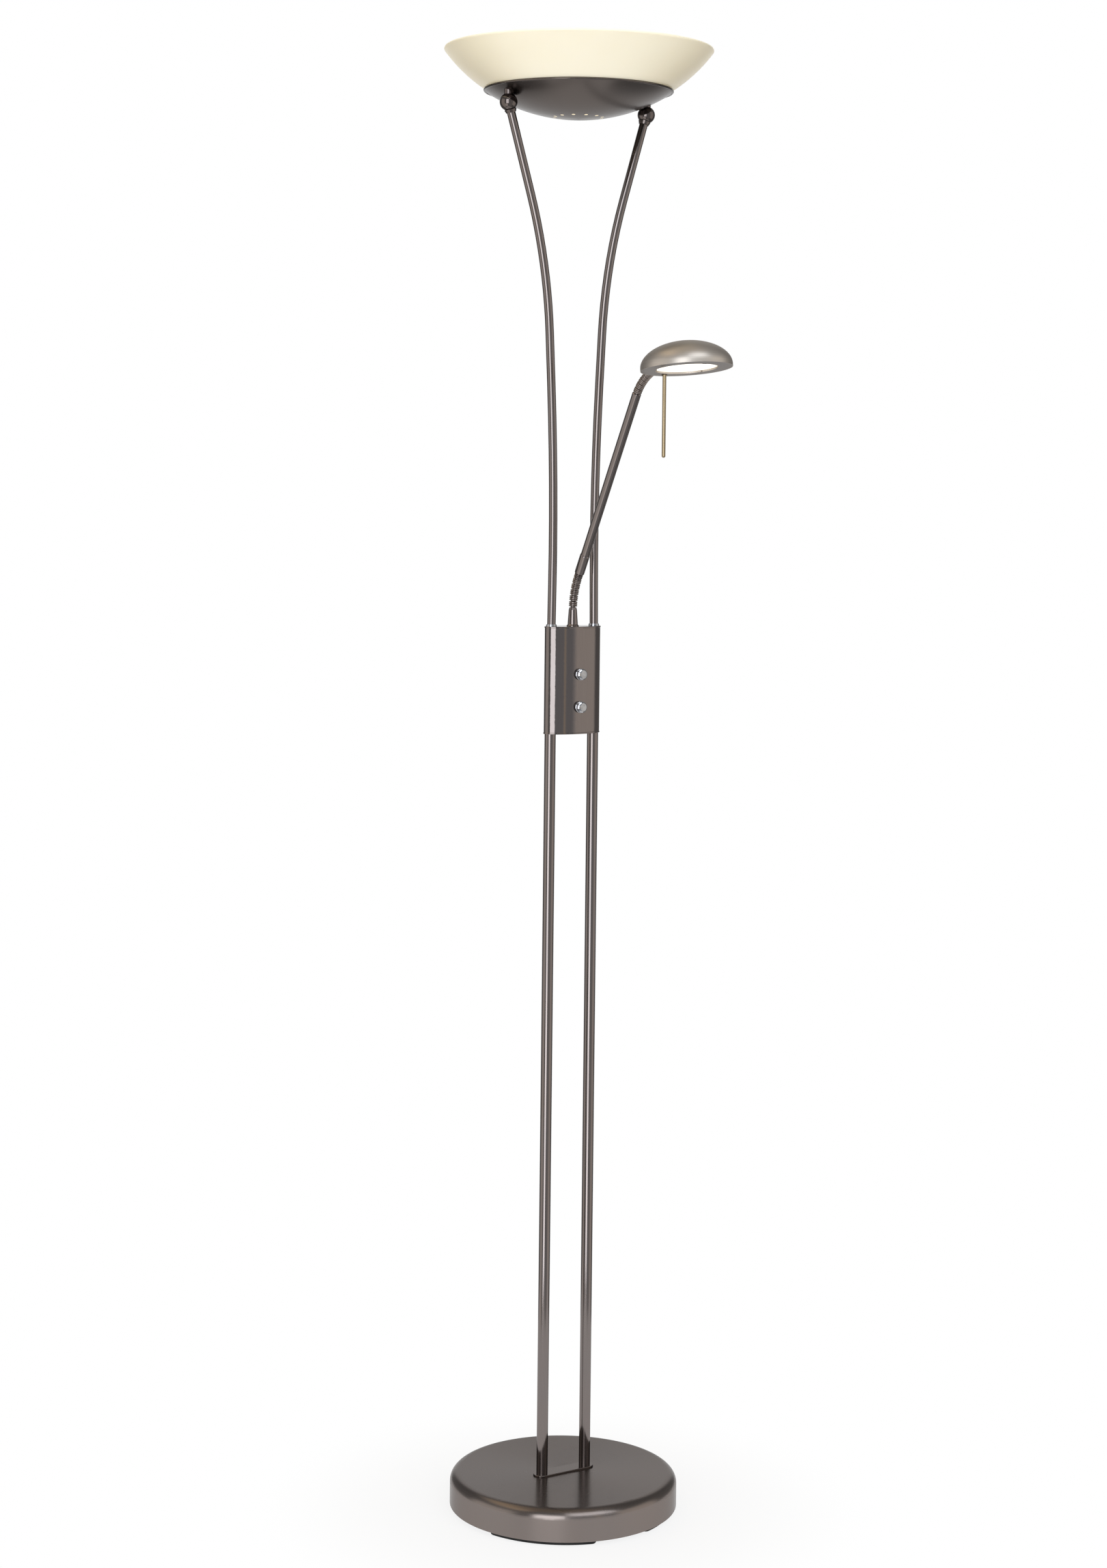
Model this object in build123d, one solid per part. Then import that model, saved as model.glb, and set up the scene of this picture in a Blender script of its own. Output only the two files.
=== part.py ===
from build123d import *
import os
from math import acos, atan2, cos, radians, sin, sqrt, tan

# Torchiere floor lamp with a reading light.
# Millimetres, +Z up. The origin is the centre of the base on the floor.
# The two poles stand in the XZ plane and the knobs and the reading arm face -Y.

# ---------------------------------------------------------------- driving sizes
# base
BASE_RADIUS = 141.0
BASE_TOP = 44.0              # height of the cover's flat top above the floor
BASE_EDGE_ROUND = 12.0
BASE_SHEET = 1.5
FOOT_HEIGHT = 6.0            # rubber pads under the base plate
FOOT_WIDTH = 13.0
FOOT_ARC = 54.0              # degrees of the rim that one pad covers
FOOT_COUNT = 4
FOOT_INSET = 6.0             # pad's outer edge inside the cover's outer radius
BASE_PLATE_SHEET = 1.5
COVER_OVERLAP = 0.5          # the cover's wall reaches this far below the plate
SCREW_RADIUS = 2.5           # the four screws that hold the plate
SCREW_LENGTH = 8.0
SCREW_HEAD_RADIUS = 4.6
SCREW_HEAD = 2.6
WEIGHT_INSET = 11.0          # the weight inside the cover's outer radius
WEIGHT_THICKNESS = 15.0
WEIGHT_EDGE = 3.0            # chamfer round the casting
WEIGHT_BOSS_RADIUS = 10.0
WEIGHT_BOSS_CIRCLE = 88.0
FOOT_PLATE_END = 4.0         # the foot plate beyond a pole, lengthwise
FOOT_PLATE_SIDE = 3.0        # and beside it
FOOT_PLATE_THICKNESS = 2.0
CORD_BUSH_HEIGHT = 15.0      # centre of the inlet in the back wall
CORD_BUSH_RADIUS = 5.0
CORD_BORE_RADIUS = 3.6
BUSH_FLANGE = 1.8            # flange beyond the bush's barrel
BUSH_INSIDE = 3.0            # how far the bush reaches past each face of the wall

# poles
POLE_HALF_SPACING = 31.5
LOWER_POLE_LENGTH = 918.0
LOWER_POLE_RADIUS = 7.0
UPPER_POLE_RADIUS = 5.3
POLE_WALL = 1.2
POLE_PLUG = 14.0             # length of the solid ends of a lower pole
THREAD_RADIUS = 5.0          # M10x1: pole screws, arm ferrule and bowl post
WIRE_BORE_RADIUS = 3.5
NUT_THICKNESS = 3.0
NUT_ACROSS_FLATS = 14.0
SPIGOT_RADIUS = 4.0          # M8x1: pole ends in the housing
SPIGOT_BORE_RADIUS = 2.6
SPIGOT_NUT_FLATS = 11.0
POLE_SCREW_HEAD = 4.5
SPIGOT_SPARE = 3.0           # thread beyond the nut
THREAD_SPARE = 2.0           # a screw stays this short of the end of its hole
COLLAR_WALL = 1.2
COLLAR_HEIGHT = 2.6
COLLAR_TAPER = 0.5

# switch housing
HOUSING_HEIGHT = 133.0
HOUSING_NUT_ROOM = 0.25      # between a pole's nut and the shell's end
HOUSING_DEPTH = 36.0
HOUSING_SHEET = 1.4
HOUSING_CAP = 2.0
HOUSING_CAP_LIP = 0.5        # how far a cap stands out past the housing
DIMMER_HEIGHTS = (33.5, 74.0)   # knob centres above the housing's bottom
DIMMER_WIDTH = 18.0
DIMMER_LENGTH = 24.0
DIMMER_DEPTH = 9.0
DIMMER_EDGE = 2.0            # chamfered corners, and the lid's inset
DIMMER_LID = 0.5
DIMMER_BUSH_RADIUS = 3.5
DIMMER_BUSH_REACH = 3.2      # how far the bush stands out of the housing's front
DIMMER_NUT_THICKNESS = 1.8
DIMMER_NUT_FLATS = 10.0
KNOB_RADIUS = 7.2
KNOB_GROOVE_RADIUS = 5.9
KNOB_CAP_RADIUS = 6.7
KNOB_HEIGHT = 7.4
KNOB_SKIRT = 2.4
KNOB_GROOVE = 1.0            # width of the groove between skirt and cap
KNOB_BEVEL = 0.4
KNOB_CROWN = 1.4             # depth of the cap's rounded edge
KNOB_GAP = 0.5               # behind the knob and over the bush's end
SPINDLE_RADIUS = 2.0
TERMINAL_BLOCK = (30.0, 10.0, 16.0)
TERMINAL_WELLS = 4

# uplighter
BALL_INSET = 15.0            # ball centres inside the dish's rim
BALL_DROP = 12.65            # and below the dish's skin above them
BALL_RADIUS = 11.0
BALL_SKIRT = 4.0             # length of the taper round the pole's end
BALL_SKIRT_WALLS = (1.0, 2.4)   # its wall at the foot and at the ball
POLE_STOP = 7.0              # a pole ends this far from its ball's centre
STUD_RADIUS = 3.0
STUD_BORE_RADIUS = 1.5
STUD_HEAD = 1.2
STUD_START = 3.0             # a stud ends this far above its ball's centre
UPPER_POLE_LEAN = 17.0       # degrees from upright where the pole meets its ball
POLE_WAIST_DRAW = 2.3        # how far an upper pole is drawn in at its waist
POLE_RISES = (175.0, 273.0, 192.5)   # housing to waist, waist to flare, flare to ball
POLE_BENDS = (125.1, 86.4)   # straight run that each bend takes up, on both sides
NECK_RADIUS = 5.6
DISH_RADIUS = 117.0
DISH_DEPTH = 34.5
DISH_SHEET = 1.2
DISH_BEAD = 1.6
VENT_CIRCLE = 30.0
VENT_RADIUS = 2.2
VENT_COUNT = 12
BOWL_RADIUS = 166.5
BOWL_RISE = 49.0             # the bowl's rim above the dish's rim
BOWL_GLASS = 4.0
BOWL_SINK = 2.8              # underside of the glass below the dish's rim
BOWL_DISH_GAP = 3.5          # glass inside the dish's rim where it leaves it
BOWL_FOOT_TURN = 13.5        # width of the turn from the flat floor to the flare
BOWL_FLARE_RISE = 0.5        # where the turn ends, above the dish's rim
BOWL_FLARE_SAG = 3.4
BOWL_HOLE_RADIUS = 7.0
SEAT_DISC_RADIUS = 36.0
SEAT_DISC_SHEET = 1.5
SEAT_HUB_RADIUS = 8.0
SEAT_HUB_CONE = 3.0
POST_FLANGE_RADIUS = 13.0
POST_FLANGE = 2.0
POST_SPARE = 1.5             # thread beyond the nut
GASKET_INSET = 2.0           # gasket inside the disc's edge
BRACKET_GASKET_RADIUS = 12.0
GASKET = 1.0
BRACKET_WIDTH = 16.0
BRACKET_SHEET = 1.5
BRACKET_EAR = 3.2            # the ears end this far above the tube's axis
TUBE_LENGTH = 117.6          # double-ended halogen tube over its end caps
TUBE_RADIUS = 5.0
TUBE_CAP_LENGTH = 9.0
TUBE_CAP_RADIUS = 3.6
TUBE_SHOULDER = 3.0          # glass between a cap and the full width
TUBE_RISE = 22.8             # its axis above the bracket
END_HOLDER = (9.0, 18.0, 18.0)
END_HOLDER_EDGE = 2.0
END_HOLDER_BACK = 2.4        # ceramic behind the tube's end
REFLECTOR_HALF_LENGTH = 38.0
REFLECTOR_HALF_WIDTH = 16.0
REFLECTOR_HALF_FLAT = 9.6    # flat run in the middle of the tray
REFLECTOR_LEG = 4.0
REFLECTOR_GAP = 0.5          # under the tray, over the post
REFLECTOR_RISE = 7.0
REFLECTOR_SHEET = 0.8

# reading arm
FERRULE_BASE_RADIUS = 6.4
FERRULE_TOP_RADIUS = 5.2
FERRULE_FLARE = 1.2
FERRULE_FOOT = 2.0           # height of the flare
FERRULE_TIP = 3.0            # length of the taper at the first socket
FERRULE_SPARE = 2.0          # thread beyond the nut
FIRST_PIVOT_HEIGHT = 22.0    # above the housing's top
ARM_LEAN = 28.8              # degrees from upright of the straight arm
HEAD_LEAN = 82.5             # degrees from upright of the coupling at the head
LINK_PITCH = 7.5             # pivot to pivot along the flexible necks
LOWER_LINKS = 5
UPPER_LINKS = 7
LINK_RIBS = 3
RIB_RADIUS = 5.3
RIB_ROOT_RADIUS = 4.3
RIB_CREST = 0.7
LINK_GAP = 1.1               # between the root faces of neighbouring links
LINK_BALL_RADIUS = 3.3
SOCKET_CLEARANCE = 0.1
SOCKET_LIP = 1.1             # socket mouth beyond the ball's centre
LINK_BORE_RADIUS = 1.5
SLEEVE_RIBS = 3
SLEEVE_LENGTH = 27.0
SLEEVE_RADIUS = 6.1
SLEEVE_BEVEL = 1.0
SLEEVE_STOP = 4.0            # the tube's foot above the sleeve's ribs
ARM_TUBE_RADIUS = 5.5
ARM_TUBE_WALL = 1.0
ARM_PIVOT_SPAN = 259.0       # last lower pivot to first upper pivot
ARM_TUBE_PLUG = 9.0
ARM_TUBE_BEVEL = 0.8

# reading head
HEAD_RADIUS = 54.4
HEAD_HEIGHT = 33.0
HEAD_SHEET = 1.2
HEAD_SKIRT = 3.0             # short upright edge below the dome
HEAD_STANDOFF = 5.1          # last pivot behind the dome's widest edge
HEAD_COUPLING_RISE = 9.5     # coupling's axis above the head's rim plane
HEAD_RING_SHEET = 1.4
HEAD_RING_CLEARANCE = 0.15
HEAD_OPENING_RADIUS = 37.0
HEAD_TONGUES = 3             # small tongues of the ring's lip that the diffuser rests on
HEAD_TONGUE = (5.0, 1.8)     # width and reach of one
DIFFUSER_THICKNESS = 2.5
DIFFUSER_MARGIN = 3.0
COUPLING_FLANGE = 2.0        # coupling and nut beyond the thread
COUPLING_TAIL = 11.0         # thread past the dome's wall
HEAD_NUT_THICKNESS = 4.8
COUPLING_RIBS = 1
COUPLING_THREAD_RADIUS = 4.0
ROD_RADIUS = 2.25
ROD_LENGTH = 98.0
ROD_INSET = 9.0              # the rod inside the dome's back edge
ROD_BOSS_RADIUS = 3.4
ROD_BOSS = 0.8
ROD_END = 1.6                # rod above the ring
HEAD_REFLECTOR_DROP = 14.0   # its top below the dome's crown
HEAD_REFLECTOR_SHEET = 0.8
HEAD_REFLECTOR_STEP = (7.5, 14.5)   # how far in its sloping wall turns and ends
REFLECTOR_NOTCH_RADIUS = 8.5
CAPSULE_WAY_RADIUS = 7.0     # hole in the reflector for the lamp
LAMPHOLDER_RADIUS = 11.0
LAMPHOLDER_EDGE = 2.0
LAMPHOLDER_WELL = (7.0, 3.0, 4.0)
CAPSULE_RADIUS = 5.0
CAPSULE_LENGTH = 10.5
CAPSULE_DROP = 2.0           # bulb's top below the holder
CAPSULE_PINCH = (6.0, 2.4, 3.0)

# fits
PRESS = 0.05                 # radial, a shaft in its bush
SLIP = 0.2                   # radial, a screw or tube through a hole
SEAT = 0.3                   # between curved pieces that rest on each other
OVER = 1.0                   # how far a cutter runs past the face it opens

# ---------------------------------------------------------------- derived sizes
POLE_FOOT = BASE_TOP + FOOT_PLATE_THICKNESS
HOUSING_BOTTOM = POLE_FOOT + LOWER_POLE_LENGTH
HOUSING_TOP = HOUSING_BOTTOM + HOUSING_HEIGHT
HOUSING_END = SPIGOT_NUT_FLATS / sqrt(3) + HOUSING_NUT_ROOM + HOUSING_SHEET
HOUSING_LENGTH = 2 * (POLE_HALF_SPACING + HOUSING_END)
SPIGOT_LENGTH = HOUSING_CAP + NUT_THICKNESS + SPIGOT_SPARE
COLLAR_RADIUS = UPPER_POLE_RADIUS + SLIP + COLLAR_WALL
WEIGHT_RADIUS = BASE_RADIUS - WEIGHT_INSET
WEIGHT_TOP = BASE_TOP - BASE_SHEET
WEIGHT_BOTTOM = WEIGHT_TOP - WEIGHT_THICKNESS
BASE_PLATE_TOP = FOOT_HEIGHT + BASE_PLATE_SHEET
BALL_X = DISH_RADIUS - BALL_INSET
BALL_HEIGHT = HOUSING_TOP + sum(POLE_RISES)
DISH_SPHERE = (DISH_RADIUS ** 2 + DISH_DEPTH ** 2) / (2 * DISH_DEPTH)
DISH_CENTRE = BALL_HEIGHT + BALL_DROP + sqrt(DISH_SPHERE ** 2 - BALL_X ** 2)
DISH_BOTTOM = DISH_CENTRE - DISH_SPHERE
DISH_RIM = DISH_BOTTOM + DISH_DEPTH
BOWL_RIM = DISH_RIM + BOWL_RISE
BOWL_FLOOR = DISH_RIM - BOWL_SINK
BOWL_FLOOR_TOP = BOWL_FLOOR + BOWL_GLASS
BOWL_FLARE_RADIUS = DISH_RADIUS - BOWL_DISH_GAP
BOWL_FOOT_RADIUS = BOWL_FLARE_RADIUS - BOWL_FOOT_TURN
SEAT_DISC_TOP = BOWL_FLOOR - GASKET
BRACKET_BOTTOM = BOWL_FLOOR_TOP + GASKET
POST_NUT_BOTTOM = BRACKET_BOTTOM + BRACKET_SHEET
POST_TOP = POST_NUT_BOTTOM + NUT_THICKNESS + POST_SPARE
TUBE_HEIGHT = BRACKET_BOTTOM + TUBE_RISE
BRACKET_HALF_LENGTH = TUBE_LENGTH / 2 + SEAT + END_HOLDER_BACK + BRACKET_SHEET
RIB_START = LINK_GAP + SOCKET_LIP       # first rib above a link's own ball
RIB_PITCH = (LINK_PITCH - LINK_GAP) / LINK_RIBS
HEAD_REACH = HEAD_RADIUS + HEAD_STANDOFF        # last pivot to the head's axis
HEAD_REFLECTOR_TOP = HEAD_HEIGHT - HEAD_REFLECTOR_DROP
ROD_CIRCLE = HEAD_RADIUS - ROD_INSET
DIFFUSER_LOW = HEAD_RING_SHEET * 1.5    # the diffuser rests on the ring's lip

parts = {}


# ---------------------------------------------------------------- shared shapes
def rod(radius, bottom, top, x=0.0, y=0.0):
    """Upright cylinder between two heights."""
    return Pos(x, y, (bottom + top) / 2) * Cylinder(radius, top - bottom)


def pipe(outer, inner, bottom, top, x=0.0):
    """Upright hollow cylinder between two heights."""
    return rod(outer, bottom, top, x) - rod(inner, bottom - OVER, top + OVER, x)


def turned(*outline):
    """Solid of revolution about Z from a closed outline of (radius, height) corners."""
    return revolve(Plane.XZ * make_face(Polyline(*outline, close=True)), Axis.Z)


def spun(wire):
    """Solid of revolution about Z from a closed wire of radius and height."""
    return revolve(Plane.XZ * make_face(wire), Axis.Z)


def hex_nut(bottom, x=0.0, bore=THREAD_RADIUS + PRESS, flats=NUT_ACROSS_FLATS, thick=NUT_THICKNESS):
    """Hexagonal nut lying flat, from its lower face up, with the corners turned off on top."""
    blank = extrude(RegularPolygon(flats / 2, 6, major_radius=False), thick)
    corner_cone = turned((0, 0), (flats / 2 + thick, 0), (flats / 2, thick), (0, thick))
    return Pos(x, 0, bottom) * ((blank & corner_cone) - Cylinder(bore, 4 * thick))


def both_sides(shape_at):
    """One piece at each pole, made by a function of the pole's side, -1 or +1."""
    return Compound(children=[shape_at(-1), shape_at(1)])


def oval(length, depth, bottom, top):
    """Upright elliptical block."""
    return Pos(0, 0, bottom) * extrude(Ellipse(length / 2, depth / 2), top - bottom)


def dish_surface(radius, offset=0.0):
    """Height of the dish's underside at a radius, or of a surface offset inwards from it."""
    return DISH_CENTRE - sqrt((DISH_SPHERE - offset) ** 2 - radius ** 2)


# ---------------------------------------------------------------- base
def base_cover():
    """Pressed cover: flat top, rounded edge, upright wall, pierced for the pole screws and the cord."""
    edge = FOOT_HEIGHT - COVER_OVERLAP
    inside = BASE_RADIUS - BASE_SHEET
    outer = FilletPolyline((0, BASE_TOP), (BASE_RADIUS, BASE_TOP), (BASE_RADIUS, edge),
                           radius=BASE_EDGE_ROUND)
    inner = FilletPolyline((inside, edge), (inside, WEIGHT_TOP), (0, WEIGHT_TOP),
                           radius=BASE_EDGE_ROUND - BASE_SHEET)
    lip = Line((BASE_RADIUS, edge), (inside, edge))
    middle = Line((0, WEIGHT_TOP), (0, BASE_TOP))
    cover = spun(outer + lip + inner + middle)
    for side in (-1, 1):
        cover -= rod(THREAD_RADIUS + SLIP, WEIGHT_BOTTOM, POLE_FOOT, side * POLE_HALF_SPACING)
    inlet = Cylinder(CORD_BUSH_RADIUS + SLIP, BASE_RADIUS / 4)
    return cover - Pos(0, BASE_RADIUS, CORD_BUSH_HEIGHT) * Rot(90, 0, 0) * inlet


def base_weight():
    """Cast weight under the cover, with bosses that reach down to the base plate."""
    edge = WEIGHT_EDGE
    weight = turned((0, WEIGHT_BOTTOM), (WEIGHT_RADIUS - edge, WEIGHT_BOTTOM),
                    (WEIGHT_RADIUS, WEIGHT_BOTTOM + edge), (WEIGHT_RADIUS, WEIGHT_TOP - edge),
                    (WEIGHT_RADIUS - edge, WEIGHT_TOP), (0, WEIGHT_TOP))
    for x, y in screw_places():
        weight += rod(WEIGHT_BOSS_RADIUS, BASE_PLATE_TOP, WEIGHT_BOTTOM + edge, x, y)
        weight -= rod(SCREW_RADIUS + PRESS, BASE_PLATE_TOP - OVER, BASE_PLATE_TOP + SCREW_LENGTH + OVER, x, y)
    for side in (-1, 1):
        weight -= rod(THREAD_RADIUS + SLIP, WEIGHT_BOTTOM - OVER, WEIGHT_TOP + OVER, side * POLE_HALF_SPACING)
    cord_way = Box(4 * CORD_BORE_RADIUS, WEIGHT_RADIUS / 2, 2 * WEIGHT_THICKNESS)
    return weight - Pos(0, BASE_RADIUS - WEIGHT_RADIUS / 4, CORD_BUSH_HEIGHT) * cord_way


def screw_places():
    """Centres of the plate's screws, evenly round the base."""
    angles = [radians(360 / FOOT_COUNT * (i + 0.5)) for i in range(FOOT_COUNT)]
    return [(WEIGHT_BOSS_CIRCLE * cos(a), WEIGHT_BOSS_CIRCLE * sin(a)) for a in angles]


def base_plate():
    """Thin plate that closes the base from below."""
    plate = rod(BASE_RADIUS - BASE_SHEET - SEAT, FOOT_HEIGHT, BASE_PLATE_TOP)
    for x, y in screw_places():
        plate -= rod(SCREW_RADIUS + SLIP, FOOT_HEIGHT - OVER, BASE_PLATE_TOP + OVER, x, y)
    return plate


def plate_screws():
    """Pan-head screws from below, through the plate into the weight's bosses."""
    low = FOOT_HEIGHT - SCREW_HEAD
    head = turned((0, low), (SCREW_HEAD_RADIUS * 2 / 3, low), (SCREW_HEAD_RADIUS, low + SCREW_HEAD / 2),
                  (SCREW_HEAD_RADIUS, FOOT_HEIGHT), (0, FOOT_HEIGHT))
    screw = head + rod(SCREW_RADIUS, FOOT_HEIGHT, BASE_PLATE_TOP + SCREW_LENGTH)
    return Compound(children=[Pos(x, y, 0) * screw for x, y in screw_places()])


def base_feet():
    """Arc-shaped rubber pads with rounded ends, near the rim of the plate."""
    middle = BASE_RADIUS - FOOT_INSET - FOOT_WIDTH / 2
    pads = []
    for i in range(FOOT_COUNT):
        start = 360 / FOOT_COUNT * (i + 0.5) - FOOT_ARC / 2
        spine = CenterArc((0, 0), middle, start, FOOT_ARC)
        pad = extrude(make_face(offset(spine, FOOT_WIDTH / 2, side=Side.BOTH)), FOOT_HEIGHT)
        pads.append(chamfer(pad.faces().sort_by(Axis.Z)[0].edges(), FOOT_HEIGHT / 6))
    return Compound(children=pads)


def cord_bush():
    """Flanged bush in the back wall of the base that the mains cord passes through."""
    flange = CORD_BUSH_RADIUS + BUSH_FLANGE
    outside = BASE_SHEET + SEAT
    bush = turned((CORD_BORE_RADIUS, -BUSH_INSIDE), (flange, -BUSH_INSIDE), (flange, -SEAT),
                  (CORD_BUSH_RADIUS, -SEAT), (CORD_BUSH_RADIUS, outside), (flange, outside),
                  (flange - BUSH_FLANGE / 2, BASE_SHEET + BUSH_INSIDE),
                  (CORD_BORE_RADIUS, BASE_SHEET + BUSH_INSIDE))
    return Pos(0, BASE_RADIUS - BASE_SHEET, CORD_BUSH_HEIGHT) * Rot(-90, 0, 0) * bush


def foot_plate():
    """Flat plate with round ends between the two poles and the cover."""
    length = 2 * (POLE_HALF_SPACING + LOWER_POLE_RADIUS + FOOT_PLATE_END)
    plate = extrude(SlotOverall(length, 2 * (LOWER_POLE_RADIUS + FOOT_PLATE_SIDE)), FOOT_PLATE_THICKNESS)
    plate = fillet(plate.faces().sort_by(Axis.Z)[-1].edges(), FOOT_PLATE_THICKNESS / 3)
    plate = Pos(0, 0, BASE_TOP) * plate
    for side in (-1, 1):
        plate -= rod(THREAD_RADIUS + SLIP, BASE_TOP - OVER, POLE_FOOT + OVER, side * POLE_HALF_SPACING)
    return plate


def pole_screw(side):
    """Hollow hexagon screw from under the weight up into a pole's foot."""
    x = side * POLE_HALF_SPACING
    low = WEIGHT_BOTTOM - POLE_SCREW_HEAD
    head = hex_nut(low, x, bore=WIRE_BORE_RADIUS, thick=POLE_SCREW_HEAD)
    shank = pipe(THREAD_RADIUS, WIRE_BORE_RADIUS, low, POLE_FOOT + POLE_PLUG - THREAD_SPARE, x)
    return head + shank


# ---------------------------------------------------------------- poles
def lower_pole(side):
    """Tube with a tapped foot and a threaded top that passes into the housing."""
    x = side * POLE_HALF_SPACING
    pole = rod(LOWER_POLE_RADIUS, POLE_FOOT, HOUSING_BOTTOM, x)
    pole -= rod(LOWER_POLE_RADIUS - POLE_WALL, POLE_FOOT + POLE_PLUG, HOUSING_BOTTOM - POLE_PLUG, x)
    pole -= rod(THREAD_RADIUS + PRESS, POLE_FOOT - OVER, POLE_FOOT + POLE_PLUG + OVER, x)
    pole += rod(SPIGOT_RADIUS, HOUSING_BOTTOM - OVER, HOUSING_BOTTOM + SPIGOT_LENGTH, x)
    return pole - rod(SPIGOT_BORE_RADIUS, HOUSING_BOTTOM - POLE_PLUG - OVER, HOUSING_TOP, x)


def upper_pole_path(side):
    """Centreline of an upper pole: drawn in to a waist, then flared out to its ball."""
    to_waist, to_flare, to_ball = POLE_RISES
    waist = (POLE_HALF_SPACING - POLE_WAIST_DRAW, HOUSING_TOP + to_waist)
    flare = (BALL_X - to_ball * tan(radians(UPPER_POLE_LEAN)), waist[1] + to_flare)
    corners = [(POLE_HALF_SPACING, HOUSING_TOP - HOUSING_CAP / 4), waist, flare, (BALL_X, BALL_HEIGHT)]
    leans = [atan2(b[0] - a[0], b[1] - a[1]) for a, b in zip(corners, corners[1:])]
    radii = [bend / tan(abs(after - before) / 2) for bend, before, after in zip(POLE_BENDS, leans, leans[1:])]
    return Plane.XZ * FilletPolyline(*[(side * x, z) for x, z in corners], radius=radii)


def upper_pole(side):
    """Bent tube from the housing to the ball under the dish."""
    path = upper_pole_path(side)
    start = Plane(origin=path @ 0, z_dir=path % 0)
    tube = sweep(start * Circle(UPPER_POLE_RADIUS), path=path)
    tube -= sweep(start * Circle(UPPER_POLE_RADIUS - POLE_WALL), path=path)
    tube += start * Pos(0, 0, POLE_PLUG / 2) * Cylinder(UPPER_POLE_RADIUS - POLE_WALL / 2, POLE_PLUG)
    x = side * POLE_HALF_SPACING
    tube -= rod(3 * UPPER_POLE_RADIUS, HOUSING_TOP - HOUSING_CAP, HOUSING_TOP, x)
    tube += rod(SPIGOT_RADIUS, HOUSING_TOP - SPIGOT_LENGTH, HOUSING_TOP + OVER, x)
    tube -= Pos(side * BALL_X, 0, BALL_HEIGHT) * Sphere(POLE_STOP)
    return tube - rod(SPIGOT_BORE_RADIUS, HOUSING_BOTTOM, HOUSING_TOP + 2 * POLE_PLUG, x)


def support_ball(side):
    """Ball on top of a pole: bored and skirted for the tube below, with a stud hole above."""
    path = upper_pole_path(side)
    foot_wall, top_wall = BALL_SKIRT_WALLS
    skirt = Cone(UPPER_POLE_RADIUS + foot_wall, UPPER_POLE_RADIUS + top_wall, BALL_SKIRT)
    ball = Sphere(BALL_RADIUS) + Pos(0, 0, -BALL_RADIUS) * skirt
    ball -= Pos(0, 0, -BALL_RADIUS - OVER) * Cylinder(UPPER_POLE_RADIUS + PRESS, 2 * BALL_RADIUS)
    ball = Plane(origin=path @ 1, z_dir=path % 1) * ball
    return ball - rod(STUD_RADIUS + PRESS, BALL_HEIGHT, BALL_HEIGHT + 2 * BALL_RADIUS, side * BALL_X)


def ball_washer(side):
    """Turned spacer that fills the wedge between a ball and the dish."""
    x = side * BALL_X
    spacer = rod(NECK_RADIUS, BALL_HEIGHT, DISH_RIM, x)
    spacer -= Pos(x, 0, BALL_HEIGHT) * Sphere(BALL_RADIUS + PRESS)
    spacer -= Pos(0, 0, DISH_CENTRE) * Sphere(DISH_SPHERE)
    spacer = spacer.solids().sort_by(Axis.Z)[0]
    return spacer - rod(STUD_RADIUS + PRESS, BALL_HEIGHT, DISH_RIM, x)


def dish_stud(side):
    """Hollow stud from inside the dish down into a ball, with a low head shaped to the dish."""
    x = side * BALL_X
    stud = rod(STUD_RADIUS, BALL_HEIGHT + STUD_START, dish_surface(BALL_X) + DISH_SHEET, x)
    inside = DISH_SPHERE - DISH_SHEET
    head = rod(NECK_RADIUS - OVER, BALL_HEIGHT, DISH_RIM + STUD_HEAD, x)
    head &= Pos(0, 0, DISH_CENTRE) * (Sphere(inside) - Sphere(inside - STUD_HEAD))
    return (stud + head) - rod(STUD_BORE_RADIUS, BALL_HEIGHT, DISH_RIM + STUD_HEAD + OVER, x)


# ---------------------------------------------------------------- housing
def housing_shell():
    """Drawn oval tube with two holes in its front for the dimmers."""
    bottom = HOUSING_BOTTOM + HOUSING_CAP
    top = HOUSING_TOP - HOUSING_CAP
    shell = oval(HOUSING_LENGTH, HOUSING_DEPTH, bottom, top)
    shell -= oval(HOUSING_LENGTH - 2 * HOUSING_SHEET, HOUSING_DEPTH - 2 * HOUSING_SHEET,
                  bottom - OVER, top + OVER)
    for height in DIMMER_HEIGHTS:
        bore = Rot(90, 0, 0) * Cylinder(DIMMER_BUSH_RADIUS + SLIP, HOUSING_DEPTH / 2)
        shell -= Pos(0, -HOUSING_DEPTH / 2, HOUSING_BOTTOM + height) * bore
    return shell


def housing_cap(bottom, middle_hole):
    """Flat oval cap with holes for the two poles and, if wanted, one in the middle."""
    cap = oval(HOUSING_LENGTH + 2 * HOUSING_CAP_LIP, HOUSING_DEPTH + 2 * HOUSING_CAP_LIP,
               bottom, bottom + HOUSING_CAP)
    cap = chamfer(cap.edges(), HOUSING_CAP / 5)
    for side in (-1, 1):
        cap -= rod(SPIGOT_RADIUS + SLIP, bottom - OVER, bottom + HOUSING_CAP + OVER, side * POLE_HALF_SPACING)
    if middle_hole:
        cap -= rod(middle_hole, bottom - OVER, bottom + HOUSING_CAP + OVER)
    return cap


def pole_collar(side):
    """Flared ring round an upper pole where it enters the housing."""
    bore = UPPER_POLE_RADIUS + SLIP
    ring = turned((bore, 0), (COLLAR_RADIUS, 0), (COLLAR_RADIUS, COLLAR_HEIGHT / 3),
                  (COLLAR_RADIUS - COLLAR_TAPER, COLLAR_HEIGHT), (bore, COLLAR_HEIGHT))
    return Pos(side * POLE_HALF_SPACING, 0, HOUSING_TOP) * ring


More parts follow.
